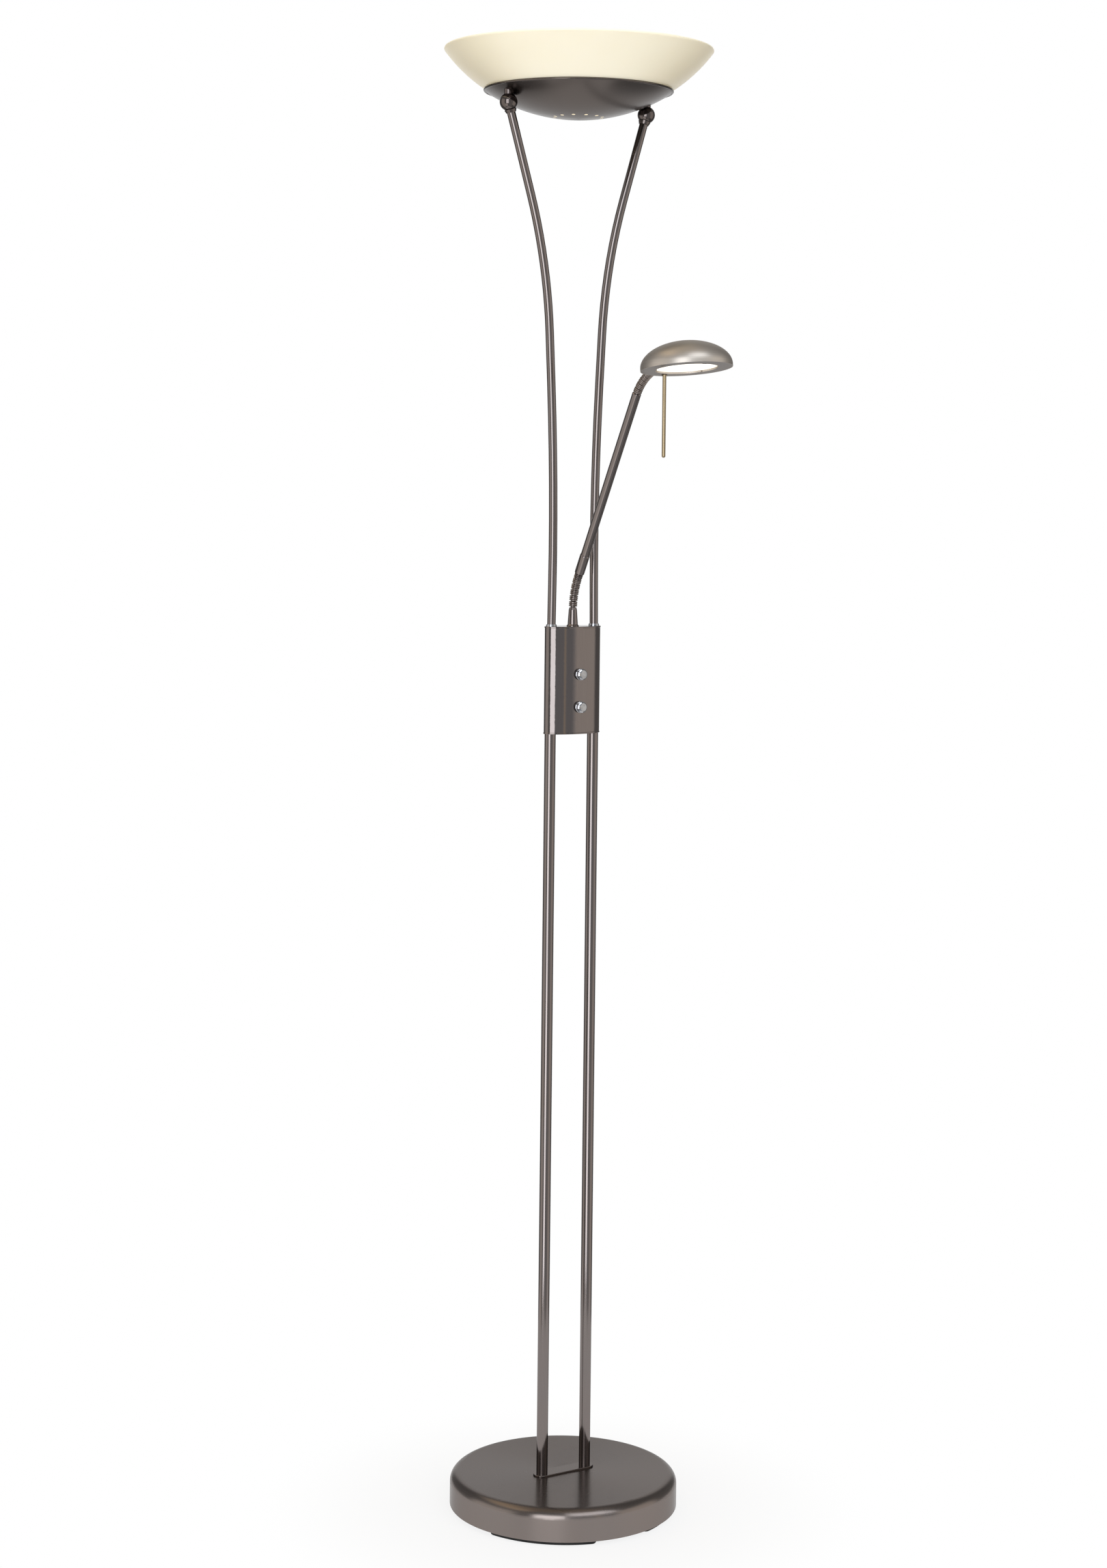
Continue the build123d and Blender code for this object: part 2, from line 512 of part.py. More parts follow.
def pole_nuts():
    """Thin nuts inside the housing on the threaded ends of all four poles."""
    low = HOUSING_BOTTOM + HOUSING_CAP
    high = HOUSING_TOP - HOUSING_CAP - NUT_THICKNESS
    return Compound(children=[hex_nut(z, x, bore=SPIGOT_RADIUS + PRESS, flats=SPIGOT_NUT_FLATS)
                              for z in (low, high) for x in (-POLE_HALF_SPACING, POLE_HALF_SPACING)])


def lamp_nuts():
    """Wide nuts: one on the arm's ferrule inside the housing, one on the bowl's post."""
    return Compound(children=[hex_nut(HOUSING_TOP - HOUSING_CAP - NUT_THICKNESS), hex_nut(POST_NUT_BOTTOM)])


def dimmer(height):
    """Rotary dimmer: block with a lid behind and a round bush through the housing's front."""
    face = dimmer_face()
    block = Box(DIMMER_WIDTH, DIMMER_DEPTH, DIMMER_LENGTH)
    block = Pos(0, face + DIMMER_DEPTH / 2, 0) * chamfer(block.edges().filter_by(Axis.Y), DIMMER_EDGE)
    reach = HOUSING_DEPTH / 2 + DIMMER_BUSH_REACH
    bush = Pos(0, (face - reach) / 2, 0) * Rot(90, 0, 0) * Cylinder(DIMMER_BUSH_RADIUS, reach + face)
    bore = Rot(90, 0, 0) * Cylinder(SPINDLE_RADIUS + PRESS, 2 * reach)
    lid = Box(DIMMER_WIDTH - 2 * DIMMER_EDGE, 2 * DIMMER_LID, DIMMER_LENGTH - 2 * DIMMER_EDGE)
    return Pos(0, 0, height) * ((block + bush) - bore + Pos(0, face + DIMMER_DEPTH, 0) * lid)


def dimmer_face():
    """Y of the dimmer block's front, set back from the oval wall's inside at the block's corners."""
    half = HOUSING_LENGTH / 2 - HOUSING_SHEET
    deep = HOUSING_DEPTH / 2 - HOUSING_SHEET
    return -deep * sqrt(1 - (DIMMER_WIDTH / 2 / half) ** 2) + SEAT


def dimmer_nuts():
    """Thin nuts that hold the dimmers' bushes against the housing's front."""
    nut = hex_nut(0, bore=DIMMER_BUSH_RADIUS + PRESS, flats=DIMMER_NUT_FLATS, thick=DIMMER_NUT_THICKNESS)
    return Compound(children=[Pos(0, -HOUSING_DEPTH / 2, HOUSING_BOTTOM + height) * Rot(90, 0, 0) * nut
                              for height in DIMMER_HEIGHTS])


def knob(height):
    """Stepped knob with its spindle: skirt, groove and domed cap, hollow behind to clear the nut."""
    groove = KNOB_SKIRT + KNOB_BEVEL
    body = turned((0, KNOB_GAP), (KNOB_RADIUS, KNOB_GAP), (KNOB_RADIUS, KNOB_SKIRT - KNOB_BEVEL),
                  (KNOB_RADIUS - KNOB_BEVEL, KNOB_SKIRT), (KNOB_GROOVE_RADIUS, groove),
                  (KNOB_GROOVE_RADIUS, groove + KNOB_GROOVE),
                  (KNOB_CAP_RADIUS, groove + KNOB_GROOVE + KNOB_BEVEL),
                  (KNOB_CAP_RADIUS, KNOB_HEIGHT - KNOB_CROWN),
                  (KNOB_CAP_RADIUS - KNOB_CROWN, KNOB_HEIGHT - KNOB_BEVEL),
                  (KNOB_CAP_RADIUS - 2 * KNOB_CROWN, KNOB_HEIGHT), (0, KNOB_HEIGHT))
    body -= rod(DIMMER_NUT_FLATS / sqrt(3) + SEAT, 0, DIMMER_NUT_THICKNESS + KNOB_GAP)
    body -= rod(DIMMER_BUSH_RADIUS + 2 * SLIP, 0, DIMMER_BUSH_REACH + KNOB_GAP)
    spindle = rod(SPINDLE_RADIUS, -spindle_reach(), KNOB_HEIGHT - KNOB_BEVEL)
    return Pos(0, -HOUSING_DEPTH / 2, height) * Rot(90, 0, 0) * (body + spindle)


def spindle_reach():
    """How far a knob's spindle reaches behind the housing's front, short of the dimmer's lid."""
    return HOUSING_DEPTH / 2 + dimmer_face() + DIMMER_DEPTH - 2 * OVER


def terminal_block():
    """Connector block against the housing's back wall, with a row of screw wells."""
    length, depth, height = TERMINAL_BLOCK
    half = HOUSING_LENGTH / 2 - HOUSING_SHEET
    deep = HOUSING_DEPTH / 2 - HOUSING_SHEET
    back = deep * sqrt(1 - (length / 2 / half) ** 2) - SEAT
    block = Pos(0, back - depth / 2, 0) * Box(length, depth, height)
    pitch = length / TERMINAL_WELLS
    for i in range(TERMINAL_WELLS):
        x = (i - (TERMINAL_WELLS - 1) / 2) * pitch
        block -= Pos(x, back - depth, 0) * Rot(90, 0, 0) * Cylinder(pitch / 3, depth)
    return Pos(0, 0, HOUSING_BOTTOM + sum(DIMMER_HEIGHTS) / 2) * block


# ---------------------------------------------------------------- uplighter
def dish():
    """Spun dish: part of a sphere with a rolled bead round its edge and a ring of vents."""
    edge_angle = acos((DISH_CENTRE - DISH_RIM) / DISH_SPHERE)
    arcs = []
    for ball, order in ((DISH_SPHERE, 1), (DISH_SPHERE - DISH_SHEET, -1)):
        points = [(ball * sin(edge_angle * f), DISH_CENTRE - ball * cos(edge_angle * f)) for f in (0, 0.5, 1)]
        arcs.append(ThreePointArc(*points[::order]))
    edge = Line(arcs[0] @ 1, arcs[1] @ 0)
    middle = Line(arcs[1] @ 1, arcs[0] @ 0)
    shell = spun(arcs[0] + edge + arcs[1] + middle)
    shell += Pos(0, 0, DISH_RIM) * Torus(DISH_RADIUS - DISH_BEAD / 2, DISH_BEAD)
    vent = rod(VENT_RADIUS, DISH_BOTTOM - OVER, DISH_RIM)
    for i in range(VENT_COUNT):
        angle = radians(360 / VENT_COUNT * (i + 0.5))
        shell -= Pos(VENT_CIRCLE * cos(angle), VENT_CIRCLE * sin(angle), 0) * vent
    for side in (-1, 1):
        shell -= rod(STUD_RADIUS + SLIP, BALL_HEIGHT, DISH_RIM + DISH_BEAD, side * BALL_X)
    return shell


def bowl_outline(inset):
    """Outside of the bowl from its foot to its rim, moved inwards by an inset."""
    foot = (BOWL_FOOT_RADIUS, BOWL_FLOOR + inset)
    rise = atan2(BOWL_RIM - DISH_RIM, BOWL_RADIUS - BOWL_FLARE_RADIUS)
    out, up = inset * sin(rise), inset * cos(rise)
    waist = (BOWL_FLARE_RADIUS - out, DISH_RIM + BOWL_FLARE_RISE + up)
    rim = (BOWL_RADIUS - out, BOWL_RIM + up)
    return foot, waist, rim


def glass_bowl():
    """Blown bowl: flat pierced floor, a turn just inside the dish and a flared, slightly swelling wall."""
    foot, waist, rim = bowl_outline(0)
    in_foot, in_waist, in_rim = bowl_outline(BOWL_GLASS)
    rim_top = ((rim[0] + in_rim[0]) / 2 + BOWL_GLASS / 4, (rim[1] + in_rim[1]) / 2 + BOWL_GLASS / 3)
    outline = (Line((BOWL_HOLE_RADIUS, BOWL_FLOOR), foot)
               + TangentArc(foot, waist, tangent=(1, 0))
               + SagittaArc(waist, rim, -BOWL_FLARE_SAG)
               + ThreePointArc(rim, rim_top, in_rim)
               + SagittaArc(in_rim, in_waist, BOWL_FLARE_SAG)
               + TangentArc(in_foot, in_waist, tangent=(1, 0))
               + Line(in_foot, (BOWL_HOLE_RADIUS, BOWL_FLOOR_TOP))
               + Line((BOWL_HOLE_RADIUS, BOWL_FLOOR_TOP), (BOWL_HOLE_RADIUS, BOWL_FLOOR)))
    return spun(outline)


def bowl_post():
    """Hollow threaded post, flanged at the dish's floor, that the whole uplighter is clamped on."""
    low = dish_surface(POST_FLANGE_RADIUS, DISH_SHEET) + PRESS
    return turned((WIRE_BORE_RADIUS, low), (POST_FLANGE_RADIUS, low), (POST_FLANGE_RADIUS, low + POST_FLANGE),
                  (THREAD_RADIUS, low + POST_FLANGE), (THREAD_RADIUS, POST_TOP), (WIRE_BORE_RADIUS, POST_TOP))


def bowl_seat():
    """Turned disc with a hub: stands on the post's flange and carries the glass."""
    bore = THREAD_RADIUS + PRESS
    hub_low = dish_surface(POST_FLANGE_RADIUS, DISH_SHEET) + PRESS + POST_FLANGE
    low = SEAT_DISC_TOP - SEAT_DISC_SHEET
    return turned((bore, hub_low), (SEAT_HUB_RADIUS, hub_low), (SEAT_HUB_RADIUS, low - SEAT_HUB_CONE),
                  (SEAT_HUB_RADIUS + SEAT_HUB_CONE, low), (SEAT_DISC_RADIUS, low),
                  (SEAT_DISC_RADIUS, SEAT_DISC_TOP), (bore, SEAT_DISC_TOP))


def bowl_gaskets():
    """Soft rings under and over the glass floor."""
    bore = THREAD_RADIUS + SLIP
    return Compound(children=[pipe(SEAT_DISC_RADIUS - GASKET_INSET, bore, SEAT_DISC_TOP, BOWL_FLOOR),
                              pipe(BRACKET_GASKET_RADIUS, bore, BOWL_FLOOR_TOP, BRACKET_BOTTOM)])


def lamp_bracket():
    """Folded strip: a flat run over the post with an ear at each end that carries a lampholder."""
    half, sheet = BRACKET_HALF_LENGTH, BRACKET_SHEET
    low, top = BRACKET_BOTTOM, TUBE_HEIGHT + BRACKET_EAR
    outer = FilletPolyline((-half, top), (-half, low), (half, low), (half, top), radius=2 * sheet)
    inner = FilletPolyline((half - sheet, top), (half - sheet, low + sheet), (sheet - half, low + sheet),
                           (sheet - half, top), radius=sheet)
    ends = Line(outer @ 1, inner @ 0) + Line(inner @ 1, outer @ 0)
    strip = extrude(Plane.XZ * make_face(outer + inner + ends), BRACKET_WIDTH / 2, both=True)
    return strip - rod(THREAD_RADIUS + SLIP, BRACKET_BOTTOM - OVER, POST_TOP)


def end_holder(side):
    """Ceramic holder on a bracket ear, with a well that the tube's end cap sits in."""
    thick, width, height = END_HOLDER
    inner_face = BRACKET_HALF_LENGTH - BRACKET_SHEET - thick
    block = chamfer(Box(thick, width, height).edges().filter_by(Axis.X), END_HOLDER_EDGE)
    block = Pos(side * (inner_face + thick / 2), 0, TUBE_HEIGHT) * block
    mouth, bottom = inner_face - OVER, TUBE_LENGTH / 2 + SEAT
    well = Cylinder(TUBE_CAP_RADIUS + SEAT, bottom - mouth)
    return block - Pos(side * (mouth + bottom) / 2, 0, TUBE_HEIGHT) * Rot(0, 90, 0) * well


def halogen_tube():
    """Double-ended quartz tube with ceramic end caps."""
    half = TUBE_LENGTH / 2
    cap = half - TUBE_CAP_LENGTH
    full = cap - TUBE_SHOULDER
    outline = turned((0, -half), (TUBE_CAP_RADIUS, -half), (TUBE_CAP_RADIUS, -cap), (TUBE_RADIUS, -full),
                     (TUBE_RADIUS, full), (TUBE_CAP_RADIUS, cap), (TUBE_CAP_RADIUS, half), (0, half))
    return Pos(0, 0, TUBE_HEIGHT) * Rot(0, 90, 0) * outline


def reflector_tray():
    """Bent tray under the halogen tube that turns its light upwards, on two short legs."""
    base = POST_TOP + REFLECTOR_GAP
    half, flat, sheet = REFLECTOR_HALF_WIDTH, REFLECTOR_HALF_FLAT, REFLECTOR_SHEET
    edge, floor = base + REFLECTOR_RISE, base + sheet
    below = [(-half, edge), (-flat, base), (flat, base), (half, edge)]
    above = [(half - sheet, edge + sheet / 2), (flat - sheet / 2, floor), (sheet / 2 - flat, floor),
             (sheet - half, edge + sheet / 2)]
    section = Plane.YZ * make_face(Polyline(*below, *above, close=True))
    tray = extrude(section, REFLECTOR_HALF_LENGTH, both=True)
    leg = Box(REFLECTOR_LEG, BRACKET_WIDTH - REFLECTOR_LEG, base - POST_NUT_BOTTOM)
    for side in (-1, 1):
        tray += Pos(side * (REFLECTOR_HALF_LENGTH - REFLECTOR_LEG / 2), 0, (base + POST_NUT_BOTTOM) / 2) * leg
    return tray


# ---------------------------------------------------------------- flexible necks
def rib_outline(ribs):
    """Corners of a ribbed wall above a ball: V-shaped ribs with narrow flat crests."""
    corners = [(RIB_ROOT_RADIUS, RIB_START)]
    for i in range(ribs):
        middle = RIB_START + RIB_PITCH * (i + 0.5)
        corners += [(RIB_RADIUS, middle - RIB_CREST / 2), (RIB_RADIUS, middle + RIB_CREST / 2),
                    (RIB_ROOT_RADIUS, middle + RIB_PITCH / 2)]
    return corners


def socket(height):
    """Cutter for a socket whose ball centre is at a height, open upwards."""
    return Pos(0, 0, height) * Sphere(LINK_BALL_RADIUS + SOCKET_CLEARANCE)


def neck_link():
    """One short ribbed length of a neck, ball at its foot and socket in its head, bored for the wires."""
    body = turned((0, RIB_START), *rib_outline(LINK_RIBS), (0, RIB_START + LINK_RIBS * RIB_PITCH))
    link = body + Sphere(LINK_BALL_RADIUS) - socket(LINK_PITCH)
    return link - Cylinder(LINK_BORE_RADIUS, 4 * LINK_PITCH)


def arm_places():
    """Pivot points and directions of the necks, in the plane x = 0, from the housing up."""
    lower_turn = ARM_LEAN / (LOWER_LINKS + 1)
    upper_turn = (HEAD_LEAN - ARM_LEAN) / (UPPER_LINKS + 1)
    place = Vector(0, 0, HOUSING_TOP + FIRST_PIVOT_HEIGHT)
    lower, upper = [], []
    for i in range(1, LOWER_LINKS + 2):
        lower.append((place, i * lower_turn))
        span = LINK_PITCH if i <= LOWER_LINKS else ARM_PIVOT_SPAN
        place = place + leaning(i * lower_turn) * span
    for i in range(1, UPPER_LINKS + 2):
        upper.append((place, ARM_LEAN + i * upper_turn))
        place = place + leaning(ARM_LEAN + i * upper_turn) * LINK_PITCH
    return lower, upper


def leaning(angle):
    """Unit vector that leans from upright towards -Y."""
    return Vector(0, -sin(radians(angle)), cos(radians(angle)))


def placed(shape, place, angle):
    """A shape built upright at the origin, moved to a pivot and leaned over."""
    return Plane(origin=place, x_dir=(1, 0, 0), z_dir=leaning(angle)) * shape


def arm_ferrule():
    """Tapered ferrule on the housing with a threaded tail below and the first socket above."""
    flare = FERRULE_BASE_RADIUS + FERRULE_FLARE
    top = HOUSING_TOP + FIRST_PIVOT_HEIGHT + SOCKET_LIP
    tail = HOUSING_TOP - HOUSING_CAP - NUT_THICKNESS - FERRULE_SPARE
    body = turned((0, tail), (THREAD_RADIUS, tail), (THREAD_RADIUS, HOUSING_TOP), (flare, HOUSING_TOP),
                  (flare, HOUSING_TOP + FERRULE_FOOT / 3), (FERRULE_BASE_RADIUS, HOUSING_TOP + FERRULE_FOOT),
                  (FERRULE_TOP_RADIUS, top - FERRULE_TIP), (RIB_ROOT_RADIUS, top), (0, top))
    body -= socket(HOUSING_TOP + FIRST_PIVOT_HEIGHT)
    return body - rod(LINK_BORE_RADIUS, tail - OVER, top + OVER)


def arm_sleeve():
    """Sleeve over the foot of the arm tube: ball, a few ribs, then a plain barrel with a rounded end."""
    start = RIB_START + SLEEVE_RIBS * RIB_PITCH
    end = start + SLEEVE_LENGTH
    body = turned((0, RIB_START), *rib_outline(SLEEVE_RIBS), (SLEEVE_RADIUS - SLEEVE_BEVEL, start),
                  (SLEEVE_RADIUS, start + SLEEVE_BEVEL), (SLEEVE_RADIUS, end - 2 * SLEEVE_BEVEL),
                  (SLEEVE_RADIUS - SLEEVE_BEVEL / 3, end - SLEEVE_BEVEL / 2), (ARM_TUBE_RADIUS + SLIP, end),
                  (0, end))
    body += Sphere(LINK_BALL_RADIUS)
    body -= rod(ARM_TUBE_RADIUS + PRESS, start + SLEEVE_STOP, end + OVER)
    return body - rod(LINK_BORE_RADIUS, -LINK_PITCH, end + OVER)


def arm_tube():
    """Straight tube from the sleeve to the upper neck, closed at its top by a plug with a socket."""
    start = RIB_START + SLEEVE_RIBS * RIB_PITCH + SLEEVE_STOP
    end = ARM_PIVOT_SPAN + SOCKET_LIP
    tube = turned((0, start), (ARM_TUBE_RADIUS, start), (ARM_TUBE_RADIUS, end - ARM_TUBE_BEVEL),
                  (ARM_TUBE_RADIUS - ARM_TUBE_BEVEL, end), (0, end))
    tube -= rod(ARM_TUBE_RADIUS - ARM_TUBE_WALL, start - OVER, end - ARM_TUBE_PLUG)
    tube -= socket(ARM_PIVOT_SPAN)
    return tube - rod(LINK_BORE_RADIUS, start, end + OVER)


# ---------------------------------------------------------------- reading head
def head_plane():
    """Plane of the head's rim: origin on its axis, nose towards its own -Y."""
    _, upper = arm_places()
    pivot, lean = upper[-1]
    up = Vector(0, cos(radians(lean)), sin(radians(lean)))
    centre = pivot + leaning(lean) * HEAD_REACH - up * HEAD_COUPLING_RISE
    return Plane(origin=centre, x_dir=(1, 0, 0), z_dir=up)


def head_half(inset):
    """Closed half outline of the dome, edge to crown and back, moved inwards by an inset."""
    edge, shoulder = (HEAD_RADIUS - inset, 0), (HEAD_RADIUS - inset, HEAD_SKIRT)
    crown = (0, HEAD_HEIGHT - inset)
    dome = EllipticalCenterArc((0, HEAD_SKIRT), shoulder[0], crown[1] - HEAD_SKIRT, arc_size=90)
    return Line(edge, shoulder) + dome + Line(crown, (0, 0)) + Line((0, 0), edge)


def dome_solid(inset):
    """Filled dome, used for the shell and to shape what seats on it."""
    return spun(head_half(inset))


def head_dome():
    """Spun dome, open below, with a hole in its back for the neck's coupling."""
    section = make_face(head_half(0)) - make_face(head_half(HEAD_SHEET))
    shell = revolve(Plane.XZ * section, Axis.Z)
    way_in = Rot(90, 0, 0) * Cylinder(COUPLING_THREAD_RADIUS + SLIP, HEAD_RADIUS)
    return shell - Pos(0, HEAD_RADIUS, HEAD_COUPLING_RISE) * way_in


def head_ring():
    """Flat ring that closes the dome from below, with an upturned edge and a lip that holds the glass."""
    outer = HEAD_RADIUS - HEAD_SHEET - HEAD_RING_CLEARANCE
    sheet, lip = HEAD_RING_SHEET, HEAD_OPENING_RADIUS + HEAD_RING_SHEET
    ring = turned((HEAD_OPENING_RADIUS, 0), (outer, 0), (outer, HEAD_SKIRT), (outer - sheet, HEAD_SKIRT),
                  (outer - sheet, sheet), (lip, sheet), (lip, DIFFUSER_LOW),
                  (HEAD_OPENING_RADIUS, DIFFUSER_LOW))
    width, reach = HEAD_TONGUE
    tongue = Pos(0, -(HEAD_OPENING_RADIUS + (HEAD_RING_SHEET - reach) / 2), DIFFUSER_LOW / 2)
    tongue *= Box(width, reach + HEAD_RING_SHEET, DIFFUSER_LOW)
    for i in range(HEAD_TONGUES):
        ring += Rot(0, 0, i * 360 / HEAD_TONGUES) * tongue
    rod_hole = Rot(90 - HEAD_LEAN, 0, 0) * Cylinder(ROD_RADIUS + PRESS, 4 * HEAD_SKIRT)
    return ring - Pos(0, ROD_CIRCLE, 0) * rod_hole


def handle_rod():
    """Round rod for turning the hot head, riveted through the back of the ring, with a rounded tip.

    It hangs straight down although the head looks up a little.
    """
    tip_height = ROD_RADIUS - ROD_LENGTH
    shape = rod(ROD_RADIUS, tip_height, HEAD_RING_SHEET + ROD_END)
    shape += Pos(0, 0, tip_height) * Sphere(ROD_RADIUS)
    tilt_rise = ROD_BOSS_RADIUS * tan(radians(90 - HEAD_LEAN))
    above = HEAD_RING_SHEET + SEAT + tilt_rise
    below = -SEAT - tilt_rise
    shape += rod(ROD_BOSS_RADIUS, above, above + ROD_BOSS) + rod(ROD_BOSS_RADIUS, below - ROD_BOSS, below)
    return Pos(0, ROD_CIRCLE, 0) * Rot(90 - HEAD_LEAN, 0, 0) * shape


def head_diffuser():
    """Frosted glass disc resting inside on the ring's lip."""
    disc = rod(HEAD_OPENING_RADIUS + DIFFUSER_MARGIN, DIFFUSER_LOW, DIFFUSER_LOW + DIFFUSER_THICKNESS)
    return chamfer(disc.edges(), DIFFUSER_THICKNESS / 5)


def head_reflector():
    """Spun inner reflector from the diffuser's edge up to the lampholder, notched for the coupling's nut."""
    low, top, sheet = DIFFUSER_LOW + DIFFUSER_THICKNESS, HEAD_REFLECTOR_TOP, HEAD_REFLECTOR_SHEET
    wide = HEAD_OPENING_RADIUS + DIFFUSER_MARGIN - 2 * sheet
    turn, shelf = (wide - step for step in HEAD_REFLECTOR_STEP)
    bend = (low + 3 * top) / 4
    outside = [(wide + sheet, low), (wide + sheet, low + sheet), (turn + sheet, bend), (shelf, top)]
    way = [(CAPSULE_WAY_RADIUS, top), (CAPSULE_WAY_RADIUS, top - sheet)]
    inside = [(shelf - sheet / 2, top - sheet), (turn, bend - sheet / 2), (wide, low)]
    wall = turned(*outside, *way, *inside)
    notch = Rot(90, 0, 0) * Cylinder(REFLECTOR_NOTCH_RADIUS, HEAD_REFLECTOR_TOP)
    return wall - Pos(0, wide, HEAD_COUPLING_RISE) * notch


def head_lampholder():
    """Ceramic capsule holder on the reflector's top, screwed up to the dome's crown."""
    low, top = HEAD_REFLECTOR_TOP, HEAD_HEIGHT - 2 * HEAD_SHEET
    holder = turned((0, low), (LAMPHOLDER_RADIUS, low), (LAMPHOLDER_RADIUS, top - LAMPHOLDER_EDGE),
                    (LAMPHOLDER_RADIUS - LAMPHOLDER_EDGE, top), (0, top))
    length, width, depth = LAMPHOLDER_WELL
    return holder - Pos(0, 0, low) * Box(length, width, 2 * depth)


def head_capsule():
    """Capsule lamp: flat pinched foot in the holder and a small round bulb."""
    length, width, depth = CAPSULE_PINCH
    bulb_top = HEAD_REFLECTOR_TOP - CAPSULE_DROP
    tip = bulb_top - CAPSULE_LENGTH + CAPSULE_RADIUS
    pinch = Pos(0, 0, bulb_top + (depth + CAPSULE_DROP) / 2) * Box(length, width, depth + CAPSULE_DROP)
    return pinch + rod(CAPSULE_RADIUS, tip, bulb_top) + Pos(0, 0, tip) * Sphere(CAPSULE_RADIUS)


def head_coupling():
    """Last ribbed length, shaped to the dome's back, with a threaded tail through it."""
    start, wall = RIB_START + COUPLING_RIBS * RIB_PITCH, head_wall_reach()
    flange = COUPLING_THREAD_RADIUS + COUPLING_FLANGE
    body = turned((0, RIB_START), *rib_outline(COUPLING_RIBS), (flange, start), (flange, wall + flange),
                  (0, wall + flange))
    body = placed(body + Sphere(LINK_BALL_RADIUS), *last_pivot())
    body -= head_plane() * dome_solid(-SEAT / 2)
    body = body.solids().sort_by(SortBy.VOLUME)[-1]
    body += placed(rod(COUPLING_THREAD_RADIUS, start - OVER, wall + COUPLING_TAIL), *last_pivot())
    return body - placed(rod(LINK_BORE_RADIUS, -LINK_PITCH, wall + COUPLING_TAIL + OVER), *last_pivot())


def last_pivot():
    _, upper = arm_places()
    return upper[-1]


def head_wall_reach():
    """Distance from the last pivot to the dome's back wall along the coupling."""
    height = max(0.0, HEAD_COUPLING_RISE - HEAD_SKIRT) / (HEAD_HEIGHT - HEAD_SKIRT)
    return HEAD_REACH - HEAD_RADIUS * sqrt(1 - height ** 2)


def head_nut():
    """Round nut on the coupling's tail, shaped to the dome's inside."""
    reach = head_wall_reach() + HEAD_SHEET + SLIP
    nut = pipe(COUPLING_THREAD_RADIUS + COUPLING_FLANGE, COUPLING_THREAD_RADIUS + PRESS,
               reach, reach + HEAD_NUT_THICKNESS)
    inside = head_plane() * dome_solid(HEAD_SHEET + SLIP)
    return (placed(nut, *last_pivot()) & inside).solids().sort_by(SortBy.VOLUME)[-1]


# ---------------------------------------------------------------- assembly
parts["base_cover"] = base_cover()
parts["base_weight"] = base_weight()
parts["base_plate"] = base_plate()
parts["base_feet"] = base_feet()
parts["plate_screws"] = plate_screws()
parts["cord_bush"] = cord_bush()
parts["foot_plate"] = foot_plate()
parts["pole_screws"] = both_sides(pole_screw)
parts["lower_pole_left"] = lower_pole(-1)
parts["lower_pole_right"] = lower_pole(1)
parts["housing_shell"] = housing_shell()
parts["housing_cap_bottom"] = housing_cap(HOUSING_BOTTOM, 0)
parts["housing_cap_top"] = housing_cap(HOUSING_TOP - HOUSING_CAP, THREAD_RADIUS + SLIP)
parts["pole_collars"] = both_sides(pole_collar)
parts["pole_nuts"] = pole_nuts()
parts["lamp_nuts"] = lamp_nuts()
parts["terminal_block"] = terminal_block()
for name, height in zip(("lower", "upper"), DIMMER_HEIGHTS):
    parts["dimmer_" + name] = dimmer(HOUSING_BOTTOM + height)
    parts["knob_" + name] = knob(HOUSING_BOTTOM + height)
parts["dimmer_nuts"] = dimmer_nuts()
parts["upper_pole_left"] = upper_pole(-1)
parts["upper_pole_right"] = upper_pole(1)
parts["support_balls"] = both_sides(support_ball)
parts["ball_washers"] = both_sides(ball_washer)
parts["dish_studs"] = both_sides(dish_stud)
parts["dish"] = dish()
parts["bowl_post"] = bowl_post()
parts["bowl_seat"] = bowl_seat()
parts["bowl_gaskets"] = bowl_gaskets()
parts["glass_bowl"] = glass_bowl()
parts["lamp_bracket"] = lamp_bracket()
parts["end_holders"] = both_sides(end_holder)
parts["reflector_tray"] = reflector_tray()
parts["halogen_tube"] = halogen_tube()
parts["arm_ferrule"] = arm_ferrule()
lower_pivots, upper_pivots = arm_places()
link = neck_link()
for i, (place, angle) in enumerate(lower_pivots[:-1], start=1):
    parts[f"lower_neck_link_{i}"] = placed(link, place, angle)
parts["arm_sleeve"] = placed(arm_sleeve(), *lower_pivots[-1])
parts["arm_tube"] = placed(arm_tube(), *lower_pivots[-1])
for i, (place, angle) in enumerate(upper_pivots[:-1], start=1):
    parts[f"upper_neck_link_{i}"] = placed(link, place, angle)
parts["head_coupling"] = head_coupling()
parts["head_nut"] = head_nut()
for name, make in (("head_dome", head_dome), ("head_ring", head_ring), ("head_diffuser", head_diffuser),
                   ("head_reflector", head_reflector), ("head_lampholder", head_lampholder),
                   ("head_capsule", head_capsule), ("handle_rod", handle_rod)):
    parts[name] = head_plane() * make()

os.makedirs("parts", exist_ok=True)
for name, shape in parts.items():
    export_step(shape, f"parts/{name}.step")
for kind, pivots in (("lower", lower_pivots), ("upper", upper_pivots)):
    for i, (place, angle) in enumerate(pivots, start=1):
        print(kind, "pivot", i, tuple(round(v, 3) for v in place), "lean", round(angle, 3))
rim = head_plane()
print("head centre", tuple(round(v, 2) for v in rim.origin), "nodes", len(parts))
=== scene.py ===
"""Looks of a torchiere floor lamp with a reading light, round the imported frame. Metres, +Z up.

All shapes are the frame's own. This script gives each node a material made of nodes, and adds a
pale floor, a studio of soft light and the photograph's camera.
"""
import math

import bpy
from mathutils import Matrix, Vector


